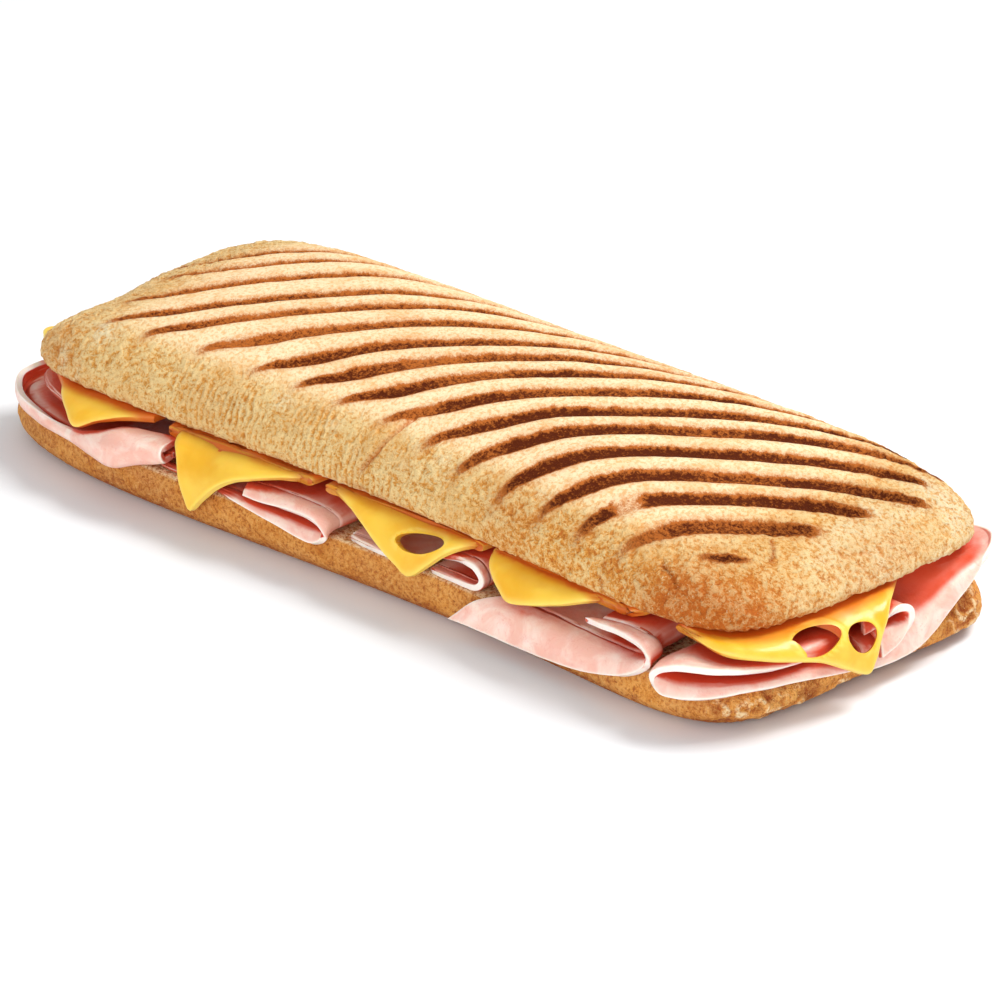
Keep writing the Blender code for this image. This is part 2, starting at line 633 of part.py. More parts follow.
def cheese_punches(name, holes, shade):
    """The punches of the holes in one cheese slice."""
    points, faces = [], []
    for run, height, out, wide, tall, lean, turn in holes:
        aside = np.array([math.cos(turn), math.sin(turn), 0.0])
        through = np.array([math.sin(turn) * math.cos(HOLE_TIP), -math.cos(turn) * math.cos(HOLE_TIP),
                            math.sin(HOLE_TIP)])
        up = np.cross(through, aside)
        middle = np.array([*edge_point(run, out), height])
        first = len(points)
        for depth in (-HOLE_REACH, HOLE_REACH):
            for step in range(HOLE_POINTS):
                angle = math.tau * step / HOLE_POINTS
                flat, rise = wide * math.cos(angle), tall * math.sin(angle)
                points.append(middle + aside * (flat * math.cos(lean) - rise * math.sin(lean))
                              + up * (flat * math.sin(lean) + rise * math.cos(lean)) + through * depth)
        lower = tuple(range(first, first + HOLE_POINTS))
        upper = tuple(range(first + HOLE_POINTS, first + 2 * HOLE_POINTS))
        faces += [lower[::-1], upper]
        for step in range(HOLE_POINTS):
            other = (step + 1) % HOLE_POINTS
            faces.append((lower[step], lower[other], upper[other], upper[step]))
    return make_cutter(name, points, faces, shade)


def cheese_slices(shade):
    left = [(-152, 20.8, -8.0), (-143, 20.8, -7.0), (-136, 20.8, -3.4), (-131.4, 20.7, -0.2), (-127, 20.8, -3.6),
            (-119, 20.8, -8.2), (-105, 20.8, -7.0), (-94, 20.8, -3.0), (-89.5, 19.6, 0.0), (-85.2, 17.9, 1.8), (-80.6, 15.8, 3.2),
            (-74.5, 18.4, 1.2), (-68.5, 20.2, -1.6), (-62, 20.8, -4.6)]
    drops = (0, 0, 0.5, 1.0, 1.5, 2.2, 3, 3.6, 3, 2, 1.2, 0.5, 0, 0)
    far_left = [(x, CHEESE_LAYER - drop, 0.4 + 0.4 * drop) for x, drop in zip(np.linspace(-88, -62, 14), drops)]
    level = [CHEESE_LAYER] * len(left)
    edge = edge_rail(left)
    inner = toward(edge, LEFT_CENTRE, 0.88, level)
    far_lip = fanned(far_left, CHEESE_LIP)
    rails = [edge, between(inner, edge), inner, slant(*CHEESE_SLANT, level),
             edge_rail(far_lip, True), edge_rail(brow(far_lip, far_left), True), edge_rail(far_left, True)]
    sheet("cheese_left", rails, CHEESE_THICK, shade)
    tip = [(-52.5, 20.8, -4.2), (-50.8, 19.8, -0.6), (-49, 18.2, 1.4), (-47, 12.8, 2.6), (-45.1, 8.8, 3.2),
           (-42.8, 6.4, 3.6), (-39.8, 9.4, 3.4), (-36, 13.4, 3.1), (-30.8, 16.8, 2.4), (-24.8, 18.8, 1.2),
           (-18, 20.2, -1.4), (-11.6, 20.8, -4.4)]
    cheese_through("cheese_tip", tip, mirrored(tip, 0.5, 1.8), (-57, -10), shade)
    drape = [(-6.5, 20.8, -4.4), (-2.4, 20.6, -2.4), (2.4, 20.0, -0.4), (8.6, 18.0, 1.8), (14.3, 15.0, 3.0),
             (20, 12.6, 3.7), (24.6, 11.1, 4.0), (29.8, 15.0, 3.3), (33, 18.0, 2.2), (36, 19.8, -0.2),
             (39.5, 20.8, -4.4)]
    piece = cheese_through("cheese_drape", drape, mirrored(drape, 1.1), (-7, 41), shade)
    cut(piece, cheese_punches("drape_punches", DRAPE_HOLES, shade))
    band = [(42.6, 20.8, -4.4), (45.2, 19.4, 0.0), (48, 17.6, 1.6), (51, 15.9, 2.7), (54.5, 14.6, 3.4),
            (60, 15.8, 3.0), (67.5, 17.9, 1.6), (73.4, 19.8, -1.2), (78, 20.8, -4.6)]
    cheese_through("cheese_band", band, mirrored(band, 1.05, 1.0), (43.5, 88), shade)
    end = [(97, 20.8, -5.0), (104, 20.4, -2.4), (111, 19.5, 1.0), (117.4, 18.6, 2.7), (124.4, 16.9, 4.1),
           (131.8, 14.6, 5.0), (138.4, 10.8, 5.6), (144.6, 7.6, 5.8), (147.2, 10.6, 5.8), (148.8, 14.0, 5.4),
           (151.4, 17.4, 4.6), (155.2, 19.9, 2.2), (160, 20.6, -1.2), (165, 20.8, -5.0)]
    piece = corner_slice("cheese_end", end, fanned(end, CHEESE_LIP), CHEESE_CENTRE, CHEESE_THICK, shade)
    cut(piece, cheese_punches("end_punches", END_HOLES, shade))


def clear_scene():
    for old in list(bpy.data.objects):
        bpy.data.objects.remove(old, do_unlink=True)


def main():
    clear_scene()
    bread_bottom()
    bread_top()
    ham_slices(material("ham", (0.80, 0.42, 0.36), 0.45))
    cheese_slices(material("cheese", (0.90, 0.58, 0.07), 0.3))


main()
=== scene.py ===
"""Looks of the ham and cheese panini: fine crust, grill marks, soft cheese and moist ham over its solids.

Sizes are in millimetres in the solids' frame, and MM turns them into metres when a mesh is made.
"""
import math

import bpy
import numpy as np
from mathutils import Matrix, Vector
from mathutils.bvhtree import BVHTree


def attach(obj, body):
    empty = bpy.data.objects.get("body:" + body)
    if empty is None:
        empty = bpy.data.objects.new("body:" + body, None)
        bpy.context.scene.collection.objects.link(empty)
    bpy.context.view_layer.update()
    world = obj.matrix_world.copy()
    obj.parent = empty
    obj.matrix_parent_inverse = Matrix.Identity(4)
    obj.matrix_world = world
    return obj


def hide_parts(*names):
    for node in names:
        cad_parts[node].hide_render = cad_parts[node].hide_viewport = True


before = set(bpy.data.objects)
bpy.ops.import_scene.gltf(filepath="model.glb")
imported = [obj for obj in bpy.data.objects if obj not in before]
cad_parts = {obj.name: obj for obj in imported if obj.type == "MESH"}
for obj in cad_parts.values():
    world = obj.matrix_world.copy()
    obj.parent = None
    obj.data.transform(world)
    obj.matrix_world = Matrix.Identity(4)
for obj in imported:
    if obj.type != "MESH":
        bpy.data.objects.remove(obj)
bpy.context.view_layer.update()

MM = 0.001

# The halves of the loaf: half length and width, squareness, near and far bulge, and the skew of the ends
BOTTOM_SHAPE = (120.0, 45.2, 6.3, (-3.64, 5.05, 8.0), (0.0, 0.0, 0.0), 5.2)
TOP_SHAPE = (115.2, 41.7, 7.0, (0.70, 6.15, 0.36), (-1.19, 0.66, 0.20), 4.7)
TOP_SHIFT = (3.8, 0.3)
TOP_DENT = 3.2
TOP_DENT_ANGLE = math.radians(-170)
TOP_DENT_SPREAD = math.radians(8)
CUT_LOW = 10.8
CUT_HIGH = 22.2
RIM_HEIGHT = 24.0
CROWN_HEIGHT = 44.0
CROWN_POWER = 2.2
WAVE_SHARE = 0.012
OUTLINE_STEPS = 6000
OUTLINE_POINTS = 2400

# The marks of the grill's ribs
MARK_ANGLE = math.radians(44.2)
MARK_PLACES = (-88.9, -79.5, -70.2, -61.8, -52.1, -42.5, -34, -24.3, -14.4, -5.3, 3.7, 15, 26.7, 37,
               51.1, 64.4, 75.5)
MARK_BOW = 3.7
MARK_BOW_AT = 30.0
MARK_WIDTH = 5.0
MARK_DEPTH = 1.3
MARK_BLUNTNESS = 8
MARK_SPILL = 5.0
FIRST_MARK_SHARE = 0.3
MARK_SHORT_STOPS = (0, 2, 4)
MARK_HOOK = 3.4
SMALL_MARK = (100.2, -31.6)
SMALL_MARK_SIZE = (6.0, 1.7)
MARK_NEAR_SHARE = (0.79, 0.09, 75.0)
MARK_FAR_SHARE = 0.91

# Where a mark is burnt less: its number, then from where to where along it, and how much burn is left there
MARK_FAINT = ((0, -20.0, 60.0, 0.0), (1, -5.0, 7.0, 0.55), (2, 4.5, 11.0, 0.22), (3, 31.0, 50.0, 0.75),
              (5, 0.0, 7.0, 0.75), (7, 0.0, 9.0, 0.8), (9, 22.0, 34.0, 0.75), (11, 0.0, 8.0, 0.75))

# The rings of points that close each half past its rim: size, height and share of the waves
TOP_RINGS = ((0.997, 23.4, 0.7), (0.990, 22.7, 0.6), (0.978, 22.3, 0.4), (0.955, CUT_HIGH, 0.2),
             (0.85, CUT_HIGH + 0.05, 0.1), (0.5, CUT_HIGH + 0.2, 0.0))
BOTTOM_RINGS = ((1.0, 5.6, 0.8), (1.0, 6.2, 0.7), (0.999, 6.8, 0.7), (0.998, 7.4, 0.6), (0.996, 8.0, 0.6),
                (0.993, 8.6, 0.5), (0.990, 9.2, 0.4), (0.986, 9.7, 0.4), (0.982, 10.2, 0.3),
                (0.976, 10.5, 0.3), (0.968, 10.7, 0.2), (0.955, CUT_LOW, 0.2), (0.93, CUT_LOW, 0.1),
                (0.5, CUT_LOW - 0.2, 0.0))
TOP_SPACING = 0.5
BOTTOM_SPACING = 0.8

# The browned near right corner of the top crust: its middle and how far the brown spreads
BROWN_CORNER = (104, -42, 24)
BROWN_SIZE = (18, 16, 9)

# Where the top crust's looks fade in and out: from where to where in height, across the loaf and along it
CROWN_FROM = 25.0
LOOSE_HEIGHTS = (40.0, 34.0)
WALL_HEIGHTS = (40.0, 30.0)
RAGGED_HEIGHTS = (25.6, 23.2)
WRINKLED_ACROSS = (-26.0, -36.0)
WRINKLED_LEFT = (-62.0, -45.0)
WRINKLED_RIGHT = (24.0, 8.0)
FLOURY_ACROSS = (-34, -16)
FLOURY_RIGHT = (98, 112)
FLOURY_LEFT = (-70, -104)
WARM_ALONG = (22, 62)
WARM_HEIGHTS = (38.5, 31.0)

# Folds and cracks in the top crust, with painted shade along them: the points each runs through, its half
# width and its depth
CRACKS = ((((8.6, -30.0, 38.6), (6.4, -35.1, 36.1), (5.0, -38.8, 32.2), (1.5, -41.7, 26.5)), 0.75, 1.1),
          (((-5.3, -42.7, 23.9), (-0.8, -42.3, 23.5), (3.4, -41.5, 22.8)), 0.9, 0.9),
          (((76.6, -43.0, 29.7), (76.1, -44.0, 26.5), (77.2, -44.3, 23.9)), 0.45, 0.9),
          (((90.6, -40.5, 32.9), (93.9, -41.3, 31.7), (95.9, -42.4, 30.1)), 0.45, 0.9),
          (((102.6, -18.6, 34.8), (104.9, -20.7, 33.9), (106.6, -23.5, 33.1)), 0.45, 0.8))

# The distance between the wrinkles of the near side
WRINKLE_STEP = 1.65

# Torn and crumbly places on the bottom crust, with painted shade between their flakes: run round the edge,
# height, reach and how deep
CRAGS = ((113.0, 5.5, 9.0, 1.1), (121.0, 4.0, 10.0, 1.3), (132.0, 3.5, 9.0, 1.1), (143.0, 3.0, 8.0, 0.9),
         (168.0, 3.5, 6.0, 0.8), (183.0, 6.5, 11.0, 1.3))

# The slices
HAM_THICK = 1.7
CHEESE_THICK = 2.0
HAM_LOW = 12.2
CHEESE_LAYER = 20.8
LIP = -2.2
CHEESE_LIP = -5.0
INSIDE = -10.0
LEFT_CENTRE = (-60.0, 6.0)
HAM_SLANT = ((-105.0, 25.0), (-56.0, -14.0))
CHEESE_SLANT = ((-97.0, 17.0), (-61.0, -14.0))
RIGHT_CENTRE = (104.0, 0.0)
CHEESE_CENTRE = (92.0, 0.0)
BROW_OUT = 0.72
BROW_DOWN = 0.26
BEND_SHARE = 0.7
BEND_THINNEST = 0.55

# Holes in the cheese: run round the edge, height, reach, half width, half height, lean and turn
END_HOLES = ((132.4, 18.6, 2.0, 5.6, 3.2, math.radians(14), math.radians(42)),
             (144.2, 16.4, 4.4, 3.2, 3.4, 0.0, math.radians(42)))
DRAPE_HOLES = ((25.6, 18.4, 0.4, 6.6, 2.3, math.radians(8), math.radians(12)),)
HOLE_POINTS = 48
HOLE_REACH = 5.0
HOLE_TIP = math.radians(25)

HOLES = {"cheese_drape": DRAPE_HOLES, "cheese_end": END_HOLES}

# The slices' meshes and edges: how torn, how wavy and over what length, how far in the edge is rounded and
# how blunt it is, how thick its bead, how uneven the thickness, and how far in the paler edge reaches
PARTS_ACROSS = 7
PARTS_ALONG = 8
HAM_LOOK = {"ragged": 0.4, "ripple": 0.22, "ripple_size": 7.0, "round": 0.7, "blunt": 0.72, "bead": 0.0,
            "uneven": 0.10, "rim_reach": 0.9}
# The cheese's paler edge is a painted highlight; the ham's is its own pale cut edge
CHEESE_LOOK = {"ragged": 0.3, "ripple": 0.18, "ripple_size": 9.0, "round": 1.3, "blunt": 0.45, "bead": 0.14,
               "uneven": 0.12, "rim_reach": 1.8}

# How the closed-in parts of the slices are found, and where the top half's rim shades them, for the slices'
# painted shade
SHUT_RAYS = 12
SHUT_REACH = 12.0
RIM_SHADE_SHARE = 0.55
RIM_SHADE_ALONG = (60.0, 100.0)
RIM_SHADE_ACROSS = (-44.0, -30.0)
LEFT_ALONG = (0.0, -60.0)

# The crusts' colours on a screen: pale, cream, golden, deep and amber
TOP_COLOURS = ((254, 238, 200), (253, 219, 154), (233, 165, 76), (196, 100, 26), (240, 164, 62))
BOTTOM_COLOURS = ((252, 226, 178), (240, 172, 80), (214, 126, 36), (152, 68, 16), (226, 144, 46))

# The floor, and the lights with their place, target and size in metres, power in watts, and colour
FLOOR_SIZE = 2.0
FLOOR_TINTS = ((0.91, 0.935, 0.965, 1.0), (0.925, 0.95, 0.98, 1.0))
ROOM_LIGHT = 0.55
LIGHTS = {"key": ((0.36, 0.52, 0.95), (0.02, 0.0, 0.02), 0.45, 10.8, (1.0, 0.99, 0.97)),
          "fill": ((0.45, -1.0, 0.35), (0.03, -0.02, 0.02), 0.6, 5.6, (1.0, 1.0, 1.0))}

# The camera: what it looks at, from which side and how far off in metres, and its lens in millimetres
CAMERA_TARGET = (0.0323, -0.0274, 0.025)
CAMERA_TURN = math.radians(42.0)
CAMERA_TILT = math.radians(25.4)
CAMERA_DISTANCE = 1.075
SENSOR_WIDTH = 36.0
LENS = SENSOR_WIDTH * 4.84


# Numbers and noise
def signed_power(value, power):
    return math.copysign(abs(value) ** power, value)


def smooth_step(low, high, value):
    share = np.clip((value - low) / (high - low), 0.0, 1.0)
    return share * share * (3 - 2 * share)


def hashed(cells, seed):
    """A steady pseudo-random number from 0 to 1 for each whole-number cell."""
    x, y, z = np.moveaxis(cells, -1, 0)
    mixed = (x * 73856093) ^ (y * 19349663) ^ (z * 83492791) ^ (seed * 2654435)
    mixed = (mixed ^ (mixed >> 13)) * 1274126177
    mixed = (mixed ^ (mixed >> 16)) & 0xFFFFFF
    return mixed / float(0xFFFFFF)


def value_noise(points, size, seed=0):
    """Smooth noise from -1 to 1 with features of this size."""
    scaled = np.asarray(points, dtype=float) / size
    base = np.floor(scaled).astype(np.int64)
    part = scaled - base
    part = part * part * (3 - 2 * part)
    total = np.zeros(len(scaled))
    for corner in range(8):
        offset = np.array([corner & 1, corner >> 1 & 1, corner >> 2 & 1])
        weight = np.prod(np.where(offset == 1, part, 1 - part), axis=1)
        total += weight * hashed(base + offset, seed)
    return 2 * total - 1


def layered_noise(points, size, seed=0, layers=3):
    """Smooth noise from -1 to 1 with ever finer features."""
    total, weight, reach = np.zeros(len(points)), 1.0, 0.0
    for layer in range(layers):
        total += weight * value_noise(points, size / 2 ** layer, seed + 17 * layer)
        reach += weight
        weight *= 0.55
    return total / reach


def grain_noise(points, size, seed=0):
    """Rounded grains: 1 at each grain's middle, falling to 0 between the grains."""
    scaled = np.asarray(points, dtype=float) / size
    base = np.floor(scaled).astype(np.int64)
    nearest = np.full(len(scaled), 9.0)
    for x in (-1, 0, 1):
        for y in (-1, 0, 1):
            for z in (-1, 0, 1):
                cell = base + np.array([x, y, z])
                middle = np.stack([hashed(cell, seed + axis) for axis in range(3)], axis=1) + cell
                nearest = np.minimum(nearest, np.linalg.norm(middle - scaled, axis=1))
    return np.clip(1 - nearest, 0.0, 1.0)


# The loaf's outlines
def evenly_along(path, count, closed=False):
    """Evenly spaced points along a plane path of straight parts, and the path's length."""
    path = np.asarray(path)
    run = np.concatenate([[0.0], np.cumsum(np.hypot(*np.diff(path, axis=0).T))])
    wanted = np.linspace(0.0, run[-1], count, endpoint=not closed)
    return np.column_stack([np.interp(wanted, run, column) for column in path.T]), run[-1]


def loaf_outline(half_length, half_width, squareness, near_bulge, far_bulge, end_skew):
    """Evenly spaced plan points of a loaf's outline, from the middle of its near side round to the right."""
    fine = []
    for step in range(OUTLINE_STEPS):
        turn = math.tau * step / OUTLINE_STEPS - math.pi / 2
        along = signed_power(math.cos(turn), 2 / squareness)
        across = signed_power(math.sin(turn), 2 / squareness)
        bulge = near_bulge if across < 0 else far_bulge
        width = half_width + sum(size * along ** (power + 1) for power, size in enumerate(bulge))
        skew = end_skew * across * max(along, 0.0)
        fine.append((half_length * along + skew, across * width))
    return evenly_along(fine + fine[:1], OUTLINE_POINTS, closed=True)


EDGE_PLAN, EDGE_RUN = loaf_outline(*BOTTOM_SHAPE)
EDGE_WAY = np.roll(EDGE_PLAN, -1, axis=0) - np.roll(EDGE_PLAN, 1, axis=0)
EDGE_OUT = np.column_stack([EDGE_WAY[:, 1], -EDGE_WAY[:, 0]])
EDGE_OUT /= np.linalg.norm(EDGE_OUT, axis=1)[:, None]


def edge_point(run, out):
    """Plan point this far outside the bottom half's edge, and this far round it from the near middle."""
    place = (run / EDGE_RUN) % 1.0 * len(EDGE_PLAN)
    index = int(place) % len(EDGE_PLAN)
    return EDGE_PLAN[index] + out * EDGE_OUT[index]


def far_run(along):
    """How far round the edge the far side's point opposite this near one lies."""
    return EDGE_RUN / 2 - along


def outline_reach(shape, dented=False):
    """A function that gives the outline's distance from its own middle at each angle."""
    plan, _ = loaf_outline(*shape)
    angles = np.arctan2(plan[:, 1], plan[:, 0])
    if dented:
        dent = TOP_DENT * np.exp(-((angles - TOP_DENT_ANGLE) / TOP_DENT_SPREAD) ** 2)
        plan = plan * (1 - dent / np.hypot(plan[:, 0], plan[:, 1]))[:, None]
    order = np.argsort(angles)
    angles, reaches = angles[order], np.hypot(plan[:, 0], plan[:, 1])[order]
    angles = np.concatenate([[angles[-1] - math.tau], angles, [angles[0] + math.tau]])
    reaches = np.concatenate([[reaches[-1]], reaches, [reaches[0]]])
    return lambda wanted: np.interp(wanted, angles, reaches)


TOP_REACH = outline_reach(TOP_SHAPE, dented=True)
BOTTOM_REACH = outline_reach(BOTTOM_SHAPE)


def crust_wave(x, y, z):
    """The crust's uneven hand, as a share from -1 to 1."""
    slow = np.sin(0.061 * x + 0.9) * np.cos(0.083 * y + 0.4)
    middle = np.sin(0.137 * x - 0.11 * y + 0.23 * z)
    quick = np.sin(0.29 * x + 0.31 * y + 1.7) * np.sin(0.41 * z + 0.17 * x)
    return 0.45 * slow + 0.3 * middle + 0.25 * quick


def crown_height(share):
    """The crown's height at this share of the way out to its rim."""
    rise = (1 - np.minimum(share, 1.0) ** CROWN_POWER) ** (1 / CROWN_POWER)
    return RIM_HEIGHT + (CROWN_HEIGHT - RIM_HEIGHT) * rise


def top_share(x, y):
    """How far out a plan point lies in the top half: 0 at its middle and 1 at its rim."""
    distance = np.hypot(x - TOP_SHIFT[0], y - TOP_SHIFT[1])
    return distance / TOP_REACH(np.arctan2(y - TOP_SHIFT[1], x - TOP_SHIFT[0]))


# Meshes
def enclosed_volume(points, faces):
    """The volume inside a closed mesh: below zero where its faces point inward."""
    total = 0.0
    for size in sorted({len(face) for face in faces}):
        some = points[np.array([face for face in faces if len(face) == size])]
        for corner in range(1, size - 1):
            sides = np.cross(some[:, corner], some[:, corner + 1])
            total += np.einsum("ij,ij->i", some[:, 0], sides).sum() / 6
    return total


def make_object(name, points, faces, shade, fields=None):
    """A smooth-shaded object from points in millimetres, with any fields kept as point attributes."""
    mesh = bpy.data.meshes.new(name)
    points = np.asarray(points, dtype=np.float64) * MM
    mesh.from_pydata(points.tolist(), [], faces)
    for field, values in (fields or {}).items():
        layer = mesh.attributes.new(field, "FLOAT", "POINT")
        layer.data.foreach_set("value", np.asarray(values, dtype=np.float32))
    mesh.materials.append(shade)
    if enclosed_volume(points, faces) < 0:
        mesh.flip_normals()
    mesh.shade_smooth()
    mesh.update()
    piece = bpy.data.objects.new(name, mesh)
    bpy.context.scene.collection.objects.link(piece)
    return piece


def evened(half_size, height, spacing):
    """Shares from -1 to 1 that are evenly spaced along a profile of this half size and height."""
    shares = np.linspace(0.0, 1.0, 20001)
    heights = height(shares)
    run = np.concatenate([[0.0], np.cumsum(np.hypot(half_size * np.diff(shares), np.diff(heights)))])
    half = np.interp(np.linspace(0.0, run[-1], max(4, round(run[-1] / spacing)) + 1), run, shares)
    return np.concatenate([-half[:0:-1], half])


def grid_faces(rows, columns, flip=False):
    """Square faces between the points of a grid."""
    faces = []
    for row in range(rows - 1):
        for column in range(columns - 1):
            corner = row * columns + column
            square = (corner, corner + 1, corner + columns + 1, corner + columns)
            faces.append(square[::-1] if flip else square)
    return faces


def loaf_grid(shape, reach, height, spacing):
    """A grid over a loaf half's face: plan points from its own middle, their shares, and the grid's size."""
    along = evened(shape[0], height, spacing)
    across = evened(shape[1], height, spacing)
    wide, deep = np.meshgrid(along, across)
    share = np.maximum(np.abs(wide), np.abs(deep))
    angle = np.arctan2(deep * shape[1], wide * shape[0])
    far = reach(angle)
    plan = np.stack([share * far * np.cos(angle), share * far * np.sin(angle)], axis=2)
    return plan.reshape(-1, 2), share.reshape(-1), len(across), len(along)


def grid_rim(rows, columns):
    """Indices round the edge of a grid, anticlockwise from its first point."""
    rim = list(range(columns))
    rim += [row * columns + columns - 1 for row in range(1, rows)]
    rim += [(rows - 1) * columns + column for column in range(columns - 2, -1, -1)]
    rim += [row * columns for row in range(rows - 2, 0, -1)]
    return rim


def closing_rings(edge, steps, shift=(0.0, 0.0)):
    """Rings of points from a half's rim towards its middle, past its wall and over its cut face."""
    rings = []
    for size, level, waves in steps:
        reach = size + WAVE_SHARE * waves * crust_wave(edge[:, 0], edge[:, 1], level)
        rings.append(np.column_stack([shift + edge * reach[:, None], np.full(len(edge), level)]))
    return rings


def with_skirt(points, faces, rim, rings, centre, flip=False):
    """Adds rings of points below or above a grid's rim, closed in the middle at a centre point."""
    count = len(rim)
    last = list(rim)
    for ring in rings:
        first = len(points)
        points = np.vstack([points, ring])
        new = list(range(first, first + count))
        for step in range(count):
            other = (step + 1) % count
            square = (last[step], new[step], new[other], last[other])
            faces.append(square[::-1] if flip else square)
        last = new
    points = np.vstack([points, [centre]])
    for step in range(count):
        other = (step + 1) % count
        corner = (last[step], len(points) - 1, last[other])
        faces.append(corner[::-1] if flip else corner)
    return points, faces


def point_normals(points, faces):
    """Unit normals of points from their faces."""
    normals = np.zeros_like(points)
    for size in (3, 4):
        some = np.array([face for face in faces if len(face) == size])
        if len(some) == 0:
            continue
        first = points[some[:, 1]] - points[some[:, 0]]
        second = points[some[:, -1]] - points[some[:, 0]]
        facing = np.cross(first, second)
        for corner in range(size):
            np.add.at(normals, some[:, corner], facing)
    return normals / np.maximum(np.linalg.norm(normals, axis=1), 1e-9)[:, None]


# The grill marks
def mark_place(place, along):
    """The plan point this far along the mark that lies at this place."""
    x = along * math.cos(MARK_ANGLE) - place * math.sin(MARK_ANGLE)
    y = along * math.sin(MARK_ANGLE) + place * math.cos(MARK_ANGLE)
    bow = MARK_BOW * (y / MARK_BOW_AT) ** 2
    return x + bow * math.sin(MARK_ANGLE), y - bow * math.cos(MARK_ANGLE)


def unbowed(x, y):
    """Each plan point's place across the marks and how far along them it lies, with their bow taken out."""
    bow = MARK_BOW * (y / MARK_BOW_AT) ** 2
    for _ in range(2):
        bow = MARK_BOW * ((y + bow * math.cos(MARK_ANGLE)) / MARK_BOW_AT) ** 2
    x, y = x - bow * math.sin(MARK_ANGLE), y + bow * math.cos(MARK_ANGLE)
    return (y * math.cos(MARK_ANGLE) - x * math.sin(MARK_ANGLE),
            x * math.cos(MARK_ANGLE) + y * math.sin(MARK_ANGLE))


def mark_run(place):
    """Where the mark at this place starts and stops."""
    middle, rise, reach = MARK_NEAR_SHARE
    near_share = middle + rise * min(abs(place) / reach, 1.0) ** 1.5
    along = np.arange(-150.0, 150.0, 0.5)
    x, y = mark_place(place, along)
    inside = along[top_share(x, y) < np.where(y < 0, near_share, MARK_FAR_SHARE)]
    return inside[0], inside[-1]


def burn_left(number, run):
    """How much of a mark's burn is left this far along it."""
    share = np.ones(len(run))
    for faint, first, last, left in MARK_FAINT:
        if faint == number:
            inside = smooth_step(first - 1.5, first + 1.5, run) * smooth_step(last + 1.5, last - 1.5, run)
            share = share * (1 - (1 - left) * inside)
    return share


def small_mark(x, y, rough):
    """How dark the small mark near the right corner is."""
    aside, down = x - SMALL_MARK[0], y - SMALL_MARK[1]
    lengthways = (aside * math.cos(MARK_ANGLE) + down * math.sin(MARK_ANGLE)) / SMALL_MARK_SIZE[0]
    crossways = (down * math.cos(MARK_ANGLE) - aside * math.sin(MARK_ANGLE)) / SMALL_MARK_SIZE[1]
    return 0.9 * smooth_step(1.25, 0.2, np.hypot(lengthways, crossways) + 0.12 * rough)


def mark_fields(points, seed):
    """How deep the grill pressed each point, how dark it is burnt, and how toasted the crust beside it is."""
    x, y = points[:, 0], points[:, 1]
    place, along = unbowed(x, y)
    rough = 0.6 * layered_noise(points, 2.6, seed) + 0.4 * value_noise(points, 0.9, seed + 5)
    waver = 0.45 * value_noise(points, 14.0, seed + 9)
    heat = 0.72 + 0.28 * smooth_step(-60.0, 60.0, x - 0.9 * y)
    pressed, burnt, toasted = np.zeros((3, len(points)))
    for number, middle in enumerate(MARK_PLACES):
        start, stop = mark_run(middle)
        hook = MARK_HOOK * smooth_step(-52.0, -20.0, middle) * smooth_step(-24.0, -35.0, y)
        distance = np.abs(place - middle - hook - waver)

        share = np.clip((along - start) / (stop - start), 0.0, 1.0)
        size = np.maximum(1 - np.abs(2 * share - 1) ** MARK_BLUNTNESS, 0.0) ** 0.6
        inside = (along > start) & (along < stop)
        part = distance / np.maximum(0.5 * MARK_WIDTH * size, 0.01)
        firm = 1.0 if number else FIRST_MARK_SHARE
        pressed = np.maximum(pressed, firm * inside * size * smooth_step(1.5, 0.25, part))

        past_start = along - start + MARK_SPILL * (number > 0)
        past_stop = stop - along + MARK_SPILL * (number not in MARK_SHORT_STOPS)
        slim = 0.4 + 0.6 * smooth_step(-1.0, 15.0, past_start)
        slim = slim * (0.6 + 0.4 * smooth_step(-1.0, 8.0, past_stop))
        part = distance / (0.5 * MARK_WIDTH * slim)
        wander = value_noise(np.column_stack([along, 0 * along + 31 * number, 0 * along]), 17.0, 3)
        strength = np.clip(0.9 + 0.25 * wander, 0.0, 1.0) * heat
        strength = strength * burn_left(number, along - start + 1.5 * rough)
        strength = strength * smooth_step(-1.0, 7.0, past_start) * smooth_step(-1.0, 4.0, past_stop)
        burnt = np.maximum(burnt, smooth_step(1.18, 0.42, part + 0.26 * rough) * strength)
        near = smooth_step(1.9, 0.9, part) * smooth_step(-3.0, 3.0, past_start)
        toasted = np.maximum(toasted, near * smooth_step(-3.0, 3.0, past_stop))
    burnt = np.maximum(burnt, small_mark(x, y, rough))
    return pressed, np.clip(burnt, 0.0, 1.0), toasted


# Node materials
def srgb(red, green, blue):
    """A linear colour from one as seen on a screen, 0 to 255."""
    colour = []
    for value in (red / 255, green / 255, blue / 255):
        colour.append(value / 12.92 if value <= 0.04045 else ((value + 0.055) / 1.055) ** 2.4)
    return (*colour, 1.0)


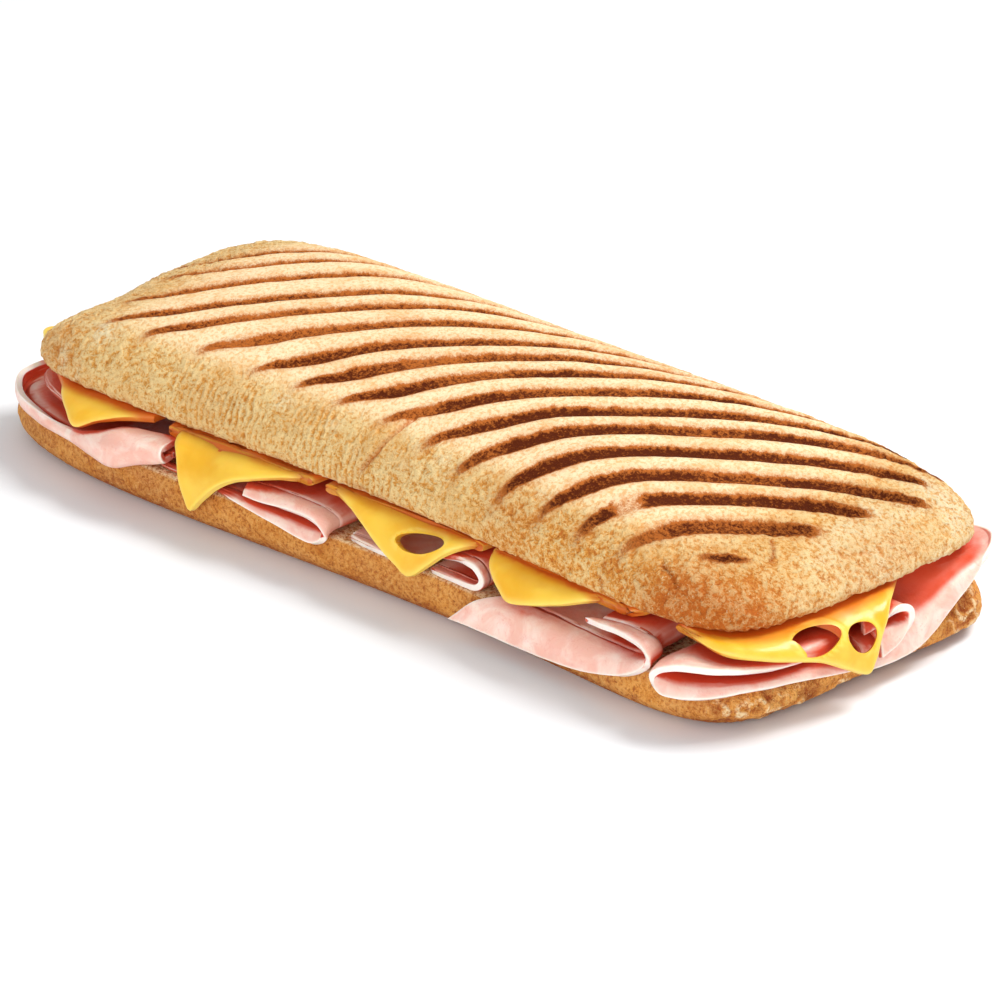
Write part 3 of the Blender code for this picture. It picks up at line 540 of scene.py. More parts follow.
class Nodes:
    """Builds one material's nodes, with sizes in millimetres."""

    def __init__(self, name):
        self.material = bpy.data.materials.new(name)
        self.material.use_nodes = True
        self.tree = self.material.node_tree
        self.shader = self.tree.nodes["Principled BSDF"]
        self.place = self.node("TexCoord", "Object", {})
        self.place = self.stretched((1 / MM, 1 / MM, 1 / MM))

    def put(self, socket, value):
        if isinstance(value, bpy.types.NodeSocket):
            self.tree.links.new(value, socket)
        else:
            socket.default_value = value

    def node(self, kind, output, sockets, **settings):
        """Adds a node with these settings and inputs, and gives one of its outputs."""
        node = self.tree.nodes.new("ShaderNode" + kind)
        for name, value in settings.items():
            setattr(node, name, value)
        for name, value in sockets.items():
            self.put(node.inputs[name], value)
        return node.outputs[output]

    def field(self, name):
        return self.node("Attribute", "Fac", {}, attribute_name=name)

    def stretched(self, scale):
        return self.node("Mapping", "Vector", {"Vector": self.place, "Scale": scale})

    def noise(self, size, detail=3.0, rough=0.55, warp=0.0, place=None):
        return self.node("TexNoise", "Fac", {"Vector": place or self.place, "Scale": 1.0 / size,
                                             "Detail": detail, "Roughness": rough, "Distortion": warp})

    def grains(self, size):
        return self.node("TexVoronoi", "Distance", {"Vector": self.place, "Scale": 1.0 / size})

    def span(self, value, low, high, out_low=0.0, out_high=1.0):
        return self.node("MapRange", "Result", {"Value": value, "From Min": low, "From Max": high,
                                                "To Min": out_low, "To Max": out_high},
                         interpolation_type="SMOOTHSTEP")

    def reckon(self, operation, first, second):
        return self.node("Math", 0, {0: first, 1: second}, operation=operation)

    def plus(self, total, *others):
        for other in others:
            total = self.reckon("ADD", total, other)
        return total

    def times(self, first, second):
        return self.reckon("MULTIPLY", first, second)

    def mix(self, share, first, second):
        return self.node("Mix", "Result", {"Factor": share, "A": first, "B": second}, data_type="RGBA")

    def bump(self, height, distance, strength=1.0, under=None):
        sockets = {"Height": height, "Distance": distance * MM, "Strength": strength}
        if under is not None:
            sockets["Normal"] = under
        return self.node("Bump", "Normal", sockets)

    def finish(self, colour, roughness, normal, **sockets):
        self.put(self.shader.inputs["Base Color"], colour)
        self.put(self.shader.inputs["Roughness"], roughness)
        self.put(self.shader.inputs["Normal"], normal)
        for name, value in sockets.items():
            self.put(self.shader.inputs[name.replace("_", " ")], value)
        return self.material


CRUST_FIELDS = ("toast_and_shade", "burnt", "loose", "flour", "warm", "raised")


def crust_material(name, colours):
    """Toasted crust: cream grain tops over golden gaps, partly its own mottling and partly painted light and
    shade that follows the relief, browner where toasted, painted darker in cracks and crag hollows, and
    granular dark marks.
    """
    nodes = Nodes(name)
    mix, span, times = nodes.mix, nodes.span, nodes.times
    pale, cream, golden, deep, amber = (srgb(*colour) for colour in colours)
    toast_and_shade, burnt, loose, flour, warm, raised = (nodes.field(field) for field in CRUST_FIELDS)
    blotches = nodes.noise(11.0, 4.0, 0.62, 0.5)
    lumps = nodes.noise(2.1, 3.0, 0.6, 0.4)
    speckles = nodes.noise(0.95, 3.0, 0.65, 0.3)
    fine = nodes.noise(0.42, 2.0, 0.6)
    streaks = nodes.noise(1.7, 3.0, 0.6, 0.9, nodes.stretched((1.0, 1.0, 0.25)))
    small = nodes.grains(0.7)
    # Painted light and shade: the raised share makes the relief's tops paler and its hollows and creases
    # darker; the noise is the crust's own mottling
    grain = nodes.plus(times(speckles, 0.45), times(fine, 0.25), times(nodes.plus(lumps, streaks), 0.06),
                       times(raised, 0.18))
    rough = mix(span(grain, 0.425, 0.535), golden, cream)
    rough = mix(span(grain, 0.44, 0.36, 0.0, 0.55), rough, deep)
    smooth = mix(span(speckles, 0.36, 0.56, 0.45, 0.95), golden, pale)
    colour = mix(span(loose, 0.0, 1.0, 0.2, 1.0), smooth, rough)
    glow = mix(span(grain, 0.47, 0.58), amber, cream)
    warmed = mix(span(grain, 0.38, 0.50), deep, glow)
    colour = mix(times(warm, span(blotches, 0.3, 0.6, 0.6, 1.0)), colour, warmed)
    colour = mix(times(span(blotches, 0.46, 0.70), 0.35), colour, golden)
    # Browner where toasted, and painted shade in the top's cracks and between the bottom's crag flakes
    colour = mix(times(toast_and_shade, span(grain, 0.42, 0.58, 1.0, 0.6)), colour, deep)
    dust = times(span(flour, 0.15, 0.9), span(speckles, 0.38, 0.58, 0.15, 1.0))
    colour = mix(times(dust, 0.85), colour, pale)
    flecks = times(span(small, 0.24, 0.12), span(speckles, 0.54, 0.62))
    colour = mix(times(flecks, span(toast_and_shade, 0.2, 0.9, 0.25, 0.75)), colour, pale)
    ragged = nodes.plus(burnt, span(fine, 0.25, 0.75, -0.14, 0.14))
    colour = mix(span(ragged, 0.02, 0.42), colour, srgb(186, 104, 44))
    wear = nodes.plus(span(speckles, 0.30, 0.70, 0.26, -0.26), span(fine, 0.3, 0.7, 0.12, -0.12))
    colour = mix(span(nodes.plus(burnt, wear), 0.34, 0.98), colour, srgb(88, 34, 10))
    normal = nodes.bump(nodes.noise(0.6, 3.0, 0.6), 0.35, 0.6)
    normal = nodes.bump(grain, 3.0, span(loose, 0.0, 1.0, 0.35, 0.9), normal)
    return nodes.finish(colour, span(speckles, 0.3, 0.7, 0.66, 0.85), normal,
                        Specular_IOR_Level=span(burnt, 0.0, 0.5, 0.24, 0.06))


def cheese_material():
    """Melted cheese: deep yellow, a painted highlight of paler yellow along its beaded edge and round its
    holes, and painted orange shade where bread and ham close round it and under the top half's rim.
    """
    nodes = Nodes("soft_cheese")
    rim, painted_shade = nodes.field("rim"), nodes.field("painted_shade")
    cloud = nodes.noise(9.0, 3.0, 0.5, 0.3)
    colour = nodes.mix(nodes.span(cloud, 0.3, 0.7), srgb(240, 178, 36), srgb(248, 200, 66))
    # Painted highlight: paler yellow along the slice's edge and round its holes
    colour = nodes.mix(nodes.times(nodes.span(rim, 0.25, 1.0), 0.6), colour, srgb(252, 222, 112))
    # Painted shade: orange where bread and ham close round the cheese and under the top half's rim
    colour = nodes.mix(nodes.span(painted_shade, 0.12, 0.58, 0.0, 0.92), colour, srgb(216, 88, 18))
    normal = nodes.bump(nodes.noise(3.0, 2.0, 0.5), 0.5, 0.22)
    return nodes.finish(colour, nodes.span(cloud, 0.3, 0.7, 0.28, 0.42), normal, Specular_IOR_Level=0.35,
                        Subsurface_Weight=0.3, Subsurface_Radius=(4.0, 2.0, 0.4), Subsurface_Scale=MM,
                        Coat_Weight=0.14, Coat_Roughness=0.12)


def ham_material():
    """Cooked ham: pale moist pink with faint grain, near white at its cut edge, and painted red shade in its
    folds and under the top half's rim.
    """
    nodes = Nodes("cooked_ham")
    rim, painted_shade = nodes.field("rim"), nodes.field("painted_shade")
    cloud = nodes.noise(8.0, 4.0, 0.6, 0.7)
    threads = nodes.noise(1.5, 4.0, 0.7, 1.4)
    colour = nodes.mix(nodes.span(cloud, 0.36, 0.68), srgb(241, 184, 166), srgb(251, 221, 207))
    colour = nodes.mix(nodes.span(threads, 0.54, 0.72, 0.0, 0.4), colour, srgb(226, 136, 118))
    colour = nodes.mix(nodes.span(rim, 0.3, 0.95, 0.0, 0.85), colour, srgb(255, 242, 232))
    # Painted shade: red where bread and cheese close round the ham and under the top half's rim
    colour = nodes.mix(nodes.span(painted_shade, 0.10, 0.50, 0.0, 0.95), colour, srgb(214, 68, 28))
    normal = nodes.bump(nodes.noise(1.1, 4.0, 0.6), 0.3, 0.3)
    normal = nodes.bump(cloud, 0.9, 0.25, normal)
    return nodes.finish(colour, nodes.span(threads, 0.3, 0.7, 0.28, 0.44), normal, Specular_IOR_Level=0.45,
                        Subsurface_Weight=0.3, Subsurface_Radius=(3.0, 1.2, 0.7), Subsurface_Scale=MM)


# The bread halves
def crust_fields(points, loose, pale):
    """Where the crust is toasted browner, and where it is floury."""
    patches = layered_noise(points, 24.0, 11)
    toast_and_shade = np.clip(0.1 + 0.75 * patches, 0.0, 1.0)
    flour = np.clip(pale + 0.9 * layered_noise(points, 9.0, 23), 0.0, 1.0) * (0.15 + 0.85 * loose)
    return toast_and_shade, flour


def ridged(points, size, seed):
    """Noise from 0 to 1 that is highest along narrow winding ridges."""
    return (1 - np.abs(value_noise(points, size, seed))) ** 2


def crust_relief(points, normals, loose, wrinkled):
    """Moves points along their normals: soft dimples, and grains and wrinkles where the crust is loose; also
    gives how raised each point is, which the crust's painted light and shade follows.
    """
    dimples = 0.22 * layered_noise(points, 9.0, 41) + 0.10 * layered_noise(points, 3.2, 43)
    grains = (0.55 * grain_noise(points, 1.5, 47) - 0.26 + 0.16 * value_noise(points, 1.15, 53)
              + 0.16 * value_noise(points, 2.6, 57))
    run = points[:, 0] + 1.5 * layered_noise(points, 5.0, 59, 2)
    creases = 0.24 * np.sin(math.tau * run / WRINKLE_STEP)
    creases = creases * np.clip(0.6 + value_noise(points, 6.0, 67), 0.2, 1.2)
    fine = loose * (grains * (1 - 0.35 * wrinkled) + wrinkled * creases)
    raised = np.clip(0.5 + 1.3 * fine, 0.0, 1.0)
    return points + normals * (dimples + fine)[:, None], raised


def near_path(points, path):
    """Each point's distance from a path of straight parts."""
    nearest = np.full(len(points), 1e3)
    for start, stop in zip(np.array(path[:-1]), np.array(path[1:])):
        way = stop - start
        share = np.clip((points - start) @ way / (way @ way), 0.0, 1.0)
        nearest = np.minimum(nearest, np.linalg.norm(points - start - share[:, None] * way, axis=1))
    return nearest


def bread_top(shade):
    """The top half: its marked crown, its grainy and wrinkled wall, its cracks and its ragged rim."""
    plan, share, rows, columns = loaf_grid(TOP_SHAPE, TOP_REACH, crown_height, TOP_SPACING)
    height = crown_height(share)
    wave = WAVE_SHARE * 0.6 * share * crust_wave(plan[:, 0], plan[:, 1], height)
    scale = 1 + wave / np.maximum(share, 1e-6)
    points = np.column_stack([TOP_SHIFT + plan * scale[:, None], height])
    rim = grid_rim(rows, columns)
    rings = closing_rings(plan[rim], TOP_RINGS, TOP_SHIFT)
    points, faces = with_skirt(points, grid_faces(rows, columns), rim, rings, (*TOP_SHIFT, CUT_HIGH + 0.2))
    normals = point_normals(points, faces)

    x, y, z = points.T
    pressed, burnt, beside = mark_fields(points, 61)
    on_crown = z > CROWN_FROM
    pressed, burnt = pressed * on_crown, burnt * on_crown
    under = z < CUT_HIGH + 0.15
    loose = smooth_step(*LOOSE_HEIGHTS, z) * ~under
    wrinkled = smooth_step(*WRINKLED_ACROSS, y) * smooth_step(*WRINKLED_LEFT, x)
    wrinkled = wrinkled * smooth_step(*WRINKLED_RIGHT, x)
    near_rim = smooth_step(*RAGGED_HEIGHTS, z) * ~under
    torn = layered_noise(points * (1.0, 1.0, 0.3), 5.0, 83)
    points, raised = crust_relief(points, normals * ~under[:, None], loose, wrinkled)
    points -= normals * (MARK_DEPTH * pressed)[:, None]
    cracked = np.zeros(len(points))
    for path, width, depth in CRACKS:
        there = np.exp(-(near_path(points, path) / width) ** 2)
        points -= normals * (depth * there)[:, None]
        cracked = np.maximum(cracked, there * min(1.0, 0.5 / width))
    points += normals * (near_rim * (0.45 * layered_noise(points, 2.0, 89) + 0.3 * torn))[:, None]
    points[:, 2] += 0.7 * near_rim * torn

    x, y, z = points.T
    toast_and_shade, flour = crust_fields(points, loose, 0.0)
    corner = np.exp(-(((points - BROWN_CORNER) / BROWN_SIZE) ** 2).sum(axis=1))
    ends = smooth_step(*FLOURY_RIGHT, x) * smooth_step(*FLOURY_ACROSS, y)
    left = smooth_step(*FLOURY_LEFT, x) * loose
    wall = loose * smooth_step(*WALL_HEIGHTS, z)
    warm = wall * smooth_step(*WARM_ALONG, x) * (1 - 0.75 * ends) * smooth_step(*WARM_HEIGHTS, z)
    # Real toasting in patches, at the browned corner and beside the marks, and painted shade along the
    # cracks, darker for narrower cracks
    toast_and_shade = toast_and_shade * (0.2 + 0.5 * wall) + 1.45 * corner + 0.34 * beside * on_crown + 1.3 * cracked
    flour = (flour + 0.5 * ends * loose + 0.3 * left) * (1 - 0.7 * np.maximum(corner, warm))
    fields = {"toast_and_shade": np.clip(toast_and_shade, 0.0, 1.0), "burnt": burnt, "loose": loose,
              "flour": np.clip(flour, 0.0, 1.0), "warm": 0.9 * warm, "raised": raised}
    return make_object("top_half", points, faces, shade, fields)


def bottom_height(share):
    """The underside: flat out to nine tenths, then curving up to the widest outline."""
    edge = np.clip((share - 0.90) / 0.10, 0.0, 1.0)
    return 5.0 * (1 - np.sqrt(np.maximum(1 - edge ** 2, 0.0)))


def bread_bottom(shade):
    """The bottom half: a flat underside with grill marks, a golden wall and crumbly crags at its right."""
    plan, share, rows, columns = loaf_grid(BOTTOM_SHAPE, BOTTOM_REACH, bottom_height, BOTTOM_SPACING)
    points = np.column_stack([plan, bottom_height(share)])
    rim = grid_rim(rows, columns)
    points, faces = with_skirt(points, grid_faces(rows, columns, flip=True), rim,
                               closing_rings(plan[rim], BOTTOM_RINGS), (0.0, 0.0, CUT_LOW - 0.2), flip=True)
    normals = point_normals(points, faces)

    height = points[:, 2]
    pressed, burnt, _ = mark_fields(points, 71)
    under = height < 0.4
    loose = smooth_step(0.5, 2.5, height) * (0.25 + 0.35 * smooth_step(6.0, 1.5, height))
    free = smooth_step(0.3, 2.0, height)
    cragged = np.zeros(len(points))
    for run, level, reach, depth in CRAGS:
        away = points - (*edge_point(run, 0.0), level)
        cragged = np.maximum(cragged, depth * np.exp(-(away ** 2).sum(axis=1) / (0.6 * reach) ** 2))
    points, raised = crust_relief(points, normals * (0.6 * free)[:, None], np.maximum(loose, cragged), 0.0)
    flakes = ridged(points, 2.8, 91) - 0.55
    points += normals * (0.9 * cragged * free * flakes)[:, None]
    points[:, 2] += under * 0.45 * pressed
    points[:, 2] = np.maximum(points[:, 2], 0.0)

    height = points[:, 2]
    toast_and_shade, flour = crust_fields(points, loose, -0.1)
    low_edge = smooth_step(3.6, 0.8, height) * ~under
    # Real toasting in patches and along the low edge, and painted shade in the hollows between the crags'
    # flakes
    toast_and_shade = (toast_and_shade + low_edge * (0.75 + 0.6 * layered_noise(points, 2.4, 77))
             + cragged * smooth_step(0.1, -0.3, flakes))
    flour = flour + smooth_step(9.9, 10.5, height) + cragged * smooth_step(0.05, 0.35, flakes)
    fields = {"toast_and_shade": np.clip(toast_and_shade, 0.0, 1.0), "burnt": burnt * under * 0.8,
              "loose": np.maximum(loose, 0.6), "flour": np.clip(flour, 0.0, 1.0),
              "warm": np.full(len(points), 0.75), "raised": raised}
    return make_object("bottom_half", points, faces, shade, fields)


# The slices
def curve_at(points, places):
    """Points on the smooth curve through the given points, at places counted in points."""
    points = np.asarray(points, dtype=float)
    ends = np.concatenate([[2 * points[0] - points[1]], points, [2 * points[-1] - points[-2]]])
    index = np.clip(np.floor(places).astype(int), 0, len(points) - 2)
    t = (places - index).reshape(-1, *([1] * (points.ndim - 1)))
    before, start, stop, after = ends[index], ends[index + 1], ends[index + 2], ends[index + 3]
    return 0.5 * (2 * start + (stop - before) * t + (2 * before - 5 * start + 4 * stop - after) * t ** 2
                  + (3 * start - before - 3 * stop + after) * t ** 3)


def fine_places(count, parts):
    """Places along count points, evenly spaced but crowded at both ends."""
    middle = np.linspace(0.0, count - 1, (count - 1) * parts + 1)
    crowd = np.array([0.015, 0.035, 0.065])
    return np.unique(np.concatenate([middle, crowd, count - 1 - crowd]))


def run_in(grid, axis):
    """Each grid point's distance along one axis from the grid's nearer end."""
    steps = np.linalg.norm(np.diff(grid, axis=axis), axis=2)
    zero = np.zeros_like(np.take(steps, [0], axis=axis))
    forward = np.concatenate([zero, np.cumsum(steps, axis=axis)], axis=axis)
    whole = np.take(forward, [-1], axis=axis)
    return np.minimum(forward, whole - forward)


def ragged(grid, distance, amount, seed):
    """Pulls a slice's rim in unevenly, as a torn or melted edge has it."""
    flat = grid.reshape(-1, 3)
    pull = amount * (0.5 + 0.5 * layered_noise(flat, 6.0, seed)) * np.exp(-distance.reshape(-1) / 2.5)
    way = np.zeros_like(grid)
    for axis in (0, 1):
        ahead = np.gradient(grid, axis=axis)
        ahead /= np.maximum(np.linalg.norm(ahead, axis=2), 1e-9)[:, :, None]
        run = run_in(grid, axis)
        side = np.sign(np.gradient(run, axis=axis))
        way += side[:, :, None] * ahead * np.exp(-run / 2.5)[:, :, None]
    return (flat + way.reshape(-1, 3) * pull[:, None]).reshape(grid.shape)


def unit(vectors):
    """The vectors' directions, each of length one."""
    return vectors / np.maximum(np.linalg.norm(vectors, axis=-1), 1e-9)[..., None]


def bend_radius(grid, axis, reach=3):
    """The radius of the circle through each grid point and its neighbours some steps off along one axis."""
    grid = np.moveaxis(grid, axis, 0)
    first, second = grid[reach:-reach] - grid[:-2 * reach], grid[2 * reach:] - grid[reach:-reach]
    turn = np.linalg.norm(np.cross(first, second), axis=2)
    lengths = [np.linalg.norm(side, axis=2) for side in (first, second, first + second)]
    radius = np.full(grid.shape[:2], 100.0)
    radius[reach:-reach] = lengths[0] * lengths[1] * lengths[2] / np.maximum(2 * turn, 1e-6)
    return np.moveaxis(radius, 0, axis)


def hole_frame(hole):
    """A hole's middle and its directions: along its width, along its height and through the slice."""
    run, height, out, _, _, lean, turn = hole
    aside = np.array([math.cos(turn), math.sin(turn), 0.0])
    through = np.array([math.sin(turn) * math.cos(HOLE_TIP), -math.cos(turn) * math.cos(HOLE_TIP),
                        math.sin(HOLE_TIP)])
    up = np.cross(through, aside)
    wide_way = aside * math.cos(lean) + up * math.sin(lean)
    tall_way = up * math.cos(lean) - aside * math.sin(lean)
    return np.array([*edge_point(run, out), height]), wide_way, tall_way, through


def hole_rims(points, holes):
    """How near each point lies to the rim of a hole: 1 on the rim, falling to 0 a millimetre or two off."""
    near = np.zeros(len(points))
    for hole in holes:
        middle, wide_way, tall_way, through = hole_frame(hole)
        away = points - middle
        share = np.hypot(away @ wide_way / hole[3], away @ tall_way / hole[4])
        distance = np.abs(share - 1) * math.sqrt(hole[3] * hole[4])
        near = np.maximum(near, np.exp(-(distance / 1.0) ** 2) * (np.abs(away @ through) < HOLE_REACH))
    return near


def punched(piece, holes):
    """Cuts the holes through a slice."""
    points, faces = [], []
    for hole in holes:
        middle, wide_way, tall_way, through = hole_frame(hole)
        first = len(points)
        for depth in (-HOLE_REACH, HOLE_REACH):
            for step in range(HOLE_POINTS):
                angle = math.tau * step / HOLE_POINTS
                waver = 1 + 0.06 * math.sin(3 * angle + hole[0])
                points.append(middle + wide_way * hole[3] * waver * math.cos(angle)
                              + tall_way * hole[4] * waver * math.sin(angle) + through * depth)
        lower = tuple(range(first, first + HOLE_POINTS))
        upper = tuple(range(first + HOLE_POINTS, first + 2 * HOLE_POINTS))
        faces += [lower[::-1], upper]
        for step in range(HOLE_POINTS):
            other = (step + 1) % HOLE_POINTS
            faces.append((lower[step], lower[other], upper[other], upper[step]))
    punch = make_object("punch", points, faces, piece.data.materials[0])
    knife = piece.modifiers.new("holes", "BOOLEAN")
    knife.operation = "DIFFERENCE"
    knife.solver = "EXACT"
    knife.object = punch
    graph = bpy.context.evaluated_depsgraph_get()
    graph.update()
    cut_mesh = bpy.data.meshes.new_from_object(piece.evaluated_get(graph))
    piece.modifiers.clear()
    piece.data = cut_mesh
    bpy.data.objects.remove(punch, do_unlink=True)
    cut_mesh.set_sharp_from_angle(angle=math.radians(50))


def slice_mesh(middle, normal, half):
    """Points and faces of a sheet half thick to both sides of a grid, with a rounded belt round its rim."""
    rows, columns = half.shape
    side = rows * columns
    rim = grid_rim(rows, columns)
    upper = (middle + normal * half[:, :, None]).reshape(-1, 3)
    lower = (middle - normal * half[:, :, None]).reshape(-1, 3)
    middle, normal = middle.reshape(-1, 3), normal.reshape(-1, 3)
    outward = np.cross(middle[np.roll(rim, -1)] - middle[np.roll(rim, 1)], normal[rim])
    belt = middle[rim] + unit(outward) * (0.3 * half.reshape(-1)[rim])[:, None]
    faces = grid_faces(rows, columns)
    faces += [tuple(side + corner for corner in reversed(face)) for face in faces]
    for index, corner in enumerate(rim):
        after = (index + 1) % len(rim)
        faces.append((rim[after], corner, 2 * side + index, 2 * side + after))
        faces.append((2 * side + after, 2 * side + index, side + corner, side + rim[after]))
    return np.vstack([upper, lower, belt]), faces


def fine_slice(name, rails, thick, shade, look, seed, holes=()):
    """A slice with rounded edges: a smooth surface through the rails, thickened both ways."""
    rails = np.array(rails, dtype=float)
    grid = curve_at(rails, fine_places(len(rails), PARTS_ACROSS))
    grid = np.swapaxes(curve_at(np.swapaxes(grid, 0, 1), fine_places(rails.shape[1], PARTS_ALONG)), 0, 1)
    distance = np.minimum(run_in(grid, 0), run_in(grid, 1))
    grid = ragged(grid, distance, look["ragged"], seed)
    normal = unit(np.cross(unit(np.gradient(grid, axis=0)), unit(np.gradient(grid, axis=1))))
    tightest = np.minimum(bend_radius(grid, 0), bend_radius(grid, 1))
    bend = np.clip(BEND_SHARE * tightest / (0.5 * thick), BEND_THINNEST, 1.0)
    flat = grid.reshape(-1, 3)
    ripple = look["ripple"] * layered_noise(flat, look["ripple_size"], seed + 3)
    round_in = np.clip(distance / look["round"], 0.0, 1.0)
    full = look["blunt"] + (1 - look["blunt"]) * np.sqrt(1 - (1 - round_in) ** 2)
    bead = 1 + look["bead"] * np.exp(-((distance - 1.8) / 1.3) ** 2)
    uneven = 1 + look["uneven"] * layered_noise(flat, 8.0, seed + 7).reshape(distance.shape)
    by_hole = hole_rims(flat, holes)
    half = 0.5 * thick * full * bead * uneven * bend * (1 + 0.22 * by_hole.reshape(distance.shape))
    middle = grid + normal * ripple.reshape(distance.shape)[:, :, None]
    points, faces = slice_mesh(middle, normal, half)
    # The paler edge: the ham's own cut edge, and on the cheese a painted highlight along its edge and round
    # its holes
    rim = np.maximum(np.exp(-distance.reshape(-1) / look["rim_reach"]), 0.8 * by_hole)
    belt = np.ones(len(points) - 2 * len(rim))
    return make_object(name, points, faces, shade, {"rim": np.concatenate([rim, rim, belt])})


def edge_rail(rail, far=False):
    """World points of a rail of (run, height, out) round the edge, or of (x, height, out) on the far side."""
    return [(*edge_point(far_run(run) if far else run, out), height) for run, height, out in rail]


def level_rail(rail, out, heights):
    """A rail with the same runs at one reach and other heights."""
    return [(run, height, out) for (run, _, _), height in zip(rail, heights)]


def narrowed(rail, left, right):
    """The rail with its runs fitted between left and right."""
    runs = [run for run, _, _ in rail]
    scale = (right - left) / (max(runs) - min(runs))
    return [(left + (run - min(runs)) * scale, height, out) for run, height, out in rail]


def between(inner, outer):
    """World points between a lip and a hanging edge, where the slice bends over."""
    inner, outer = np.array(inner), np.array(outer)
    return inner + (outer - inner) * (BROW_OUT, BROW_OUT, BROW_DOWN)


def brow(inner, outer):
    """The rail between a lip and a hanging edge, where the slice bends over."""
    return [(0.5 * (a[0] + b[0]), a[1] + (b[1] - a[1]) * BROW_DOWN, a[2] + (b[2] - a[2]) * BROW_OUT)
            for a, b in zip(inner, outer)]


def mirrored(rail, droop, push=0.0):
    """The far side's edge of a slice: the near one turned round, hanging lower and further out."""
    left = min(run for run, _, _ in rail)
    right = max(run for run, _, _ in rail)
    top = max(height for _, height, _ in rail)
    return [(left + right - run, top - (top - height) * droop, out + push * (top - height) * 0.1)
            for run, height, out in rail[::-1]]


def tucked(rail, heights):
    """The lip behind a ham slice's edge."""
    return [(run, height, min(LIP, out - 1.0)) for (run, _, out), height in zip(rail, heights)]


def across_loaf(near, near_lip, near_inside, far_inside, far_lip, far):
    """Rails of a slice that runs through the loaf, from its near hanging edge to its far one."""
    return [edge_rail(near), edge_rail(brow(near_lip, near)), edge_rail(near_lip), edge_rail(near_inside),
            edge_rail(far_inside, True), edge_rail(far_lip, True), edge_rail(brow(far_lip, far), True),
            edge_rail(far, True)]


def through_rails(near, far, heights, span=None, lips=None, inside=INSIDE):
    """Rails of a ham slice that lies right across the loaf."""
    runs = [run for run, _, _ in near]
    span = span or (min(runs), max(runs))
    near_lip, far_lip = tucked(near, heights), tucked(far, heights)
    near_inside = narrowed(level_rail(near, inside, heights), *span)
    far_inside = narrowed(level_rail(far, inside, heights), *span)
    if lips:
        near_lip, far_lip = narrowed(near_lip, *lips), narrowed(far_lip, *lips)
    return across_loaf(near, near_lip, near_inside, far_inside, far_lip, far)


def fanned(rail, out, span=None):
    """A level rail behind a cheese slice's edge, its runs spread by the length of that edge."""
    spots = np.array(rail, dtype=float)
    steps = np.linalg.norm(np.diff(spots, axis=0), axis=1)
    shares = np.concatenate([[0.0], np.cumsum(steps)]) / steps.sum()
    left, right = span or (rail[0][0], rail[-1][0])
    return [(left + (right - left) * share, CHEESE_LAYER, min(out, reach - 1.0))
            for share, (_, _, reach) in zip(shares, rail)]


def melted_rails(near, far, span):
    """Rails of a cheese slice that lies across the loaf and melts over both of its sides."""
    return across_loaf(near, fanned(near, CHEESE_LIP), fanned(near, INSIDE, span), fanned(far, INSIDE, span),
                       fanned(far, CHEESE_LIP), far)


def toward(points, centre, share, heights):
    """The points drawn in towards a centre, at other heights."""
    return [(centre[0] + (x - centre[0]) * share, centre[1] + (y - centre[1]) * share, height)
            for (x, y, _), height in zip(points, heights)]


def slant(start, stop, heights):
    """Evenly spaced points on a straight line in plan, at the given heights."""
    return np.column_stack([np.linspace(start, stop, len(heights)), heights])


def corner_rails(rail, lip, centre):
    """Rails of a slice that hangs out round the right end, drawn in towards a centre."""
    heights = [height for _, height, _ in lip]
    inner = edge_rail(lip)
    return [edge_rail(rail), edge_rail(brow(lip, rail)), inner, toward(inner, centre, 0.72, heights),
            toward(inner, centre, 0.4, heights)]


def ham_left_rails():
    """The slice round the near left corner: run, reach, low and top height, lean and height inside."""
    folds = [(-165, -5.0, 12.2, 14.6, 0.4, 12.2), (-140, -6.0, 12.2, 14.6, 0.4, 12.2),
             (-126, -3.2, 12.1, 15.2, 0.4, 12.2), (-117, -0.6, 11.8, 15.4, 0.4, 12.2),
             (-107, 1.0, 11.4, 15.0, 0.2, 12.2), (-96, 1.6, 11.0, 14.2, 0.4, 12.2),
             (-83, 2.4, 11.2, 13.9, 1.2, 12.2), (-74, 4.0, 10.8, 15.8, 3.5, 12.2),
             (-67.5, 4.6, 10.6, 18.0, 6.0, 13.0), (-60, 3.6, 13.4, 18.6, 6.5, 14.6),
             (-53, 1.8, 15.4, 18.6, 6.0, 15.6)]
    outer = [[] for _ in range(6)]
    for run, reach, low, top, back, inner in folds:
        tall = top - low
        bend = [(reach - back, top), (reach, top - min(0.5 * tall, 0.9)), (reach, low + 0.35 * tall),
                (reach - 1.0, low)]
        path = [*evenly_along(bend, 4)[0], (reach - 3.8, inner - 0.2), (reach - 7.0, inner)]
        for rail, (out, height) in zip(outer, path):
            rail.append((*edge_point(run, out), height))
    inners = [inner for _, _, _, _, _, inner in folds]
    far_x = np.linspace(-108, -54, len(folds))
    far_lip = [(*edge_point(far_run(x), LIP), inner) for x, inner in zip(far_x, inners)]
    far_edge = [(*edge_point(far_run(x), 0.4), inner - 0.3) for x, inner in zip(far_x, inners)]
    return outer + [slant(*HAM_SLANT, inners), far_lip, far_edge]


def make_slices(slices, thick, shade, look, seed):
    """Each slice, made from its rails and holes to stand for its node."""
    pieces = []
    for number, (node, rails) in enumerate(slices.items()):
        holes = HOLES.get(node, ())
        piece = fine_slice(node + "_slice", rails, thick, shade, look, seed + 10 * number, holes)
        if holes:
            punched(piece, holes)
        place_over(piece, node)
        pieces.append(piece)
    return pieces


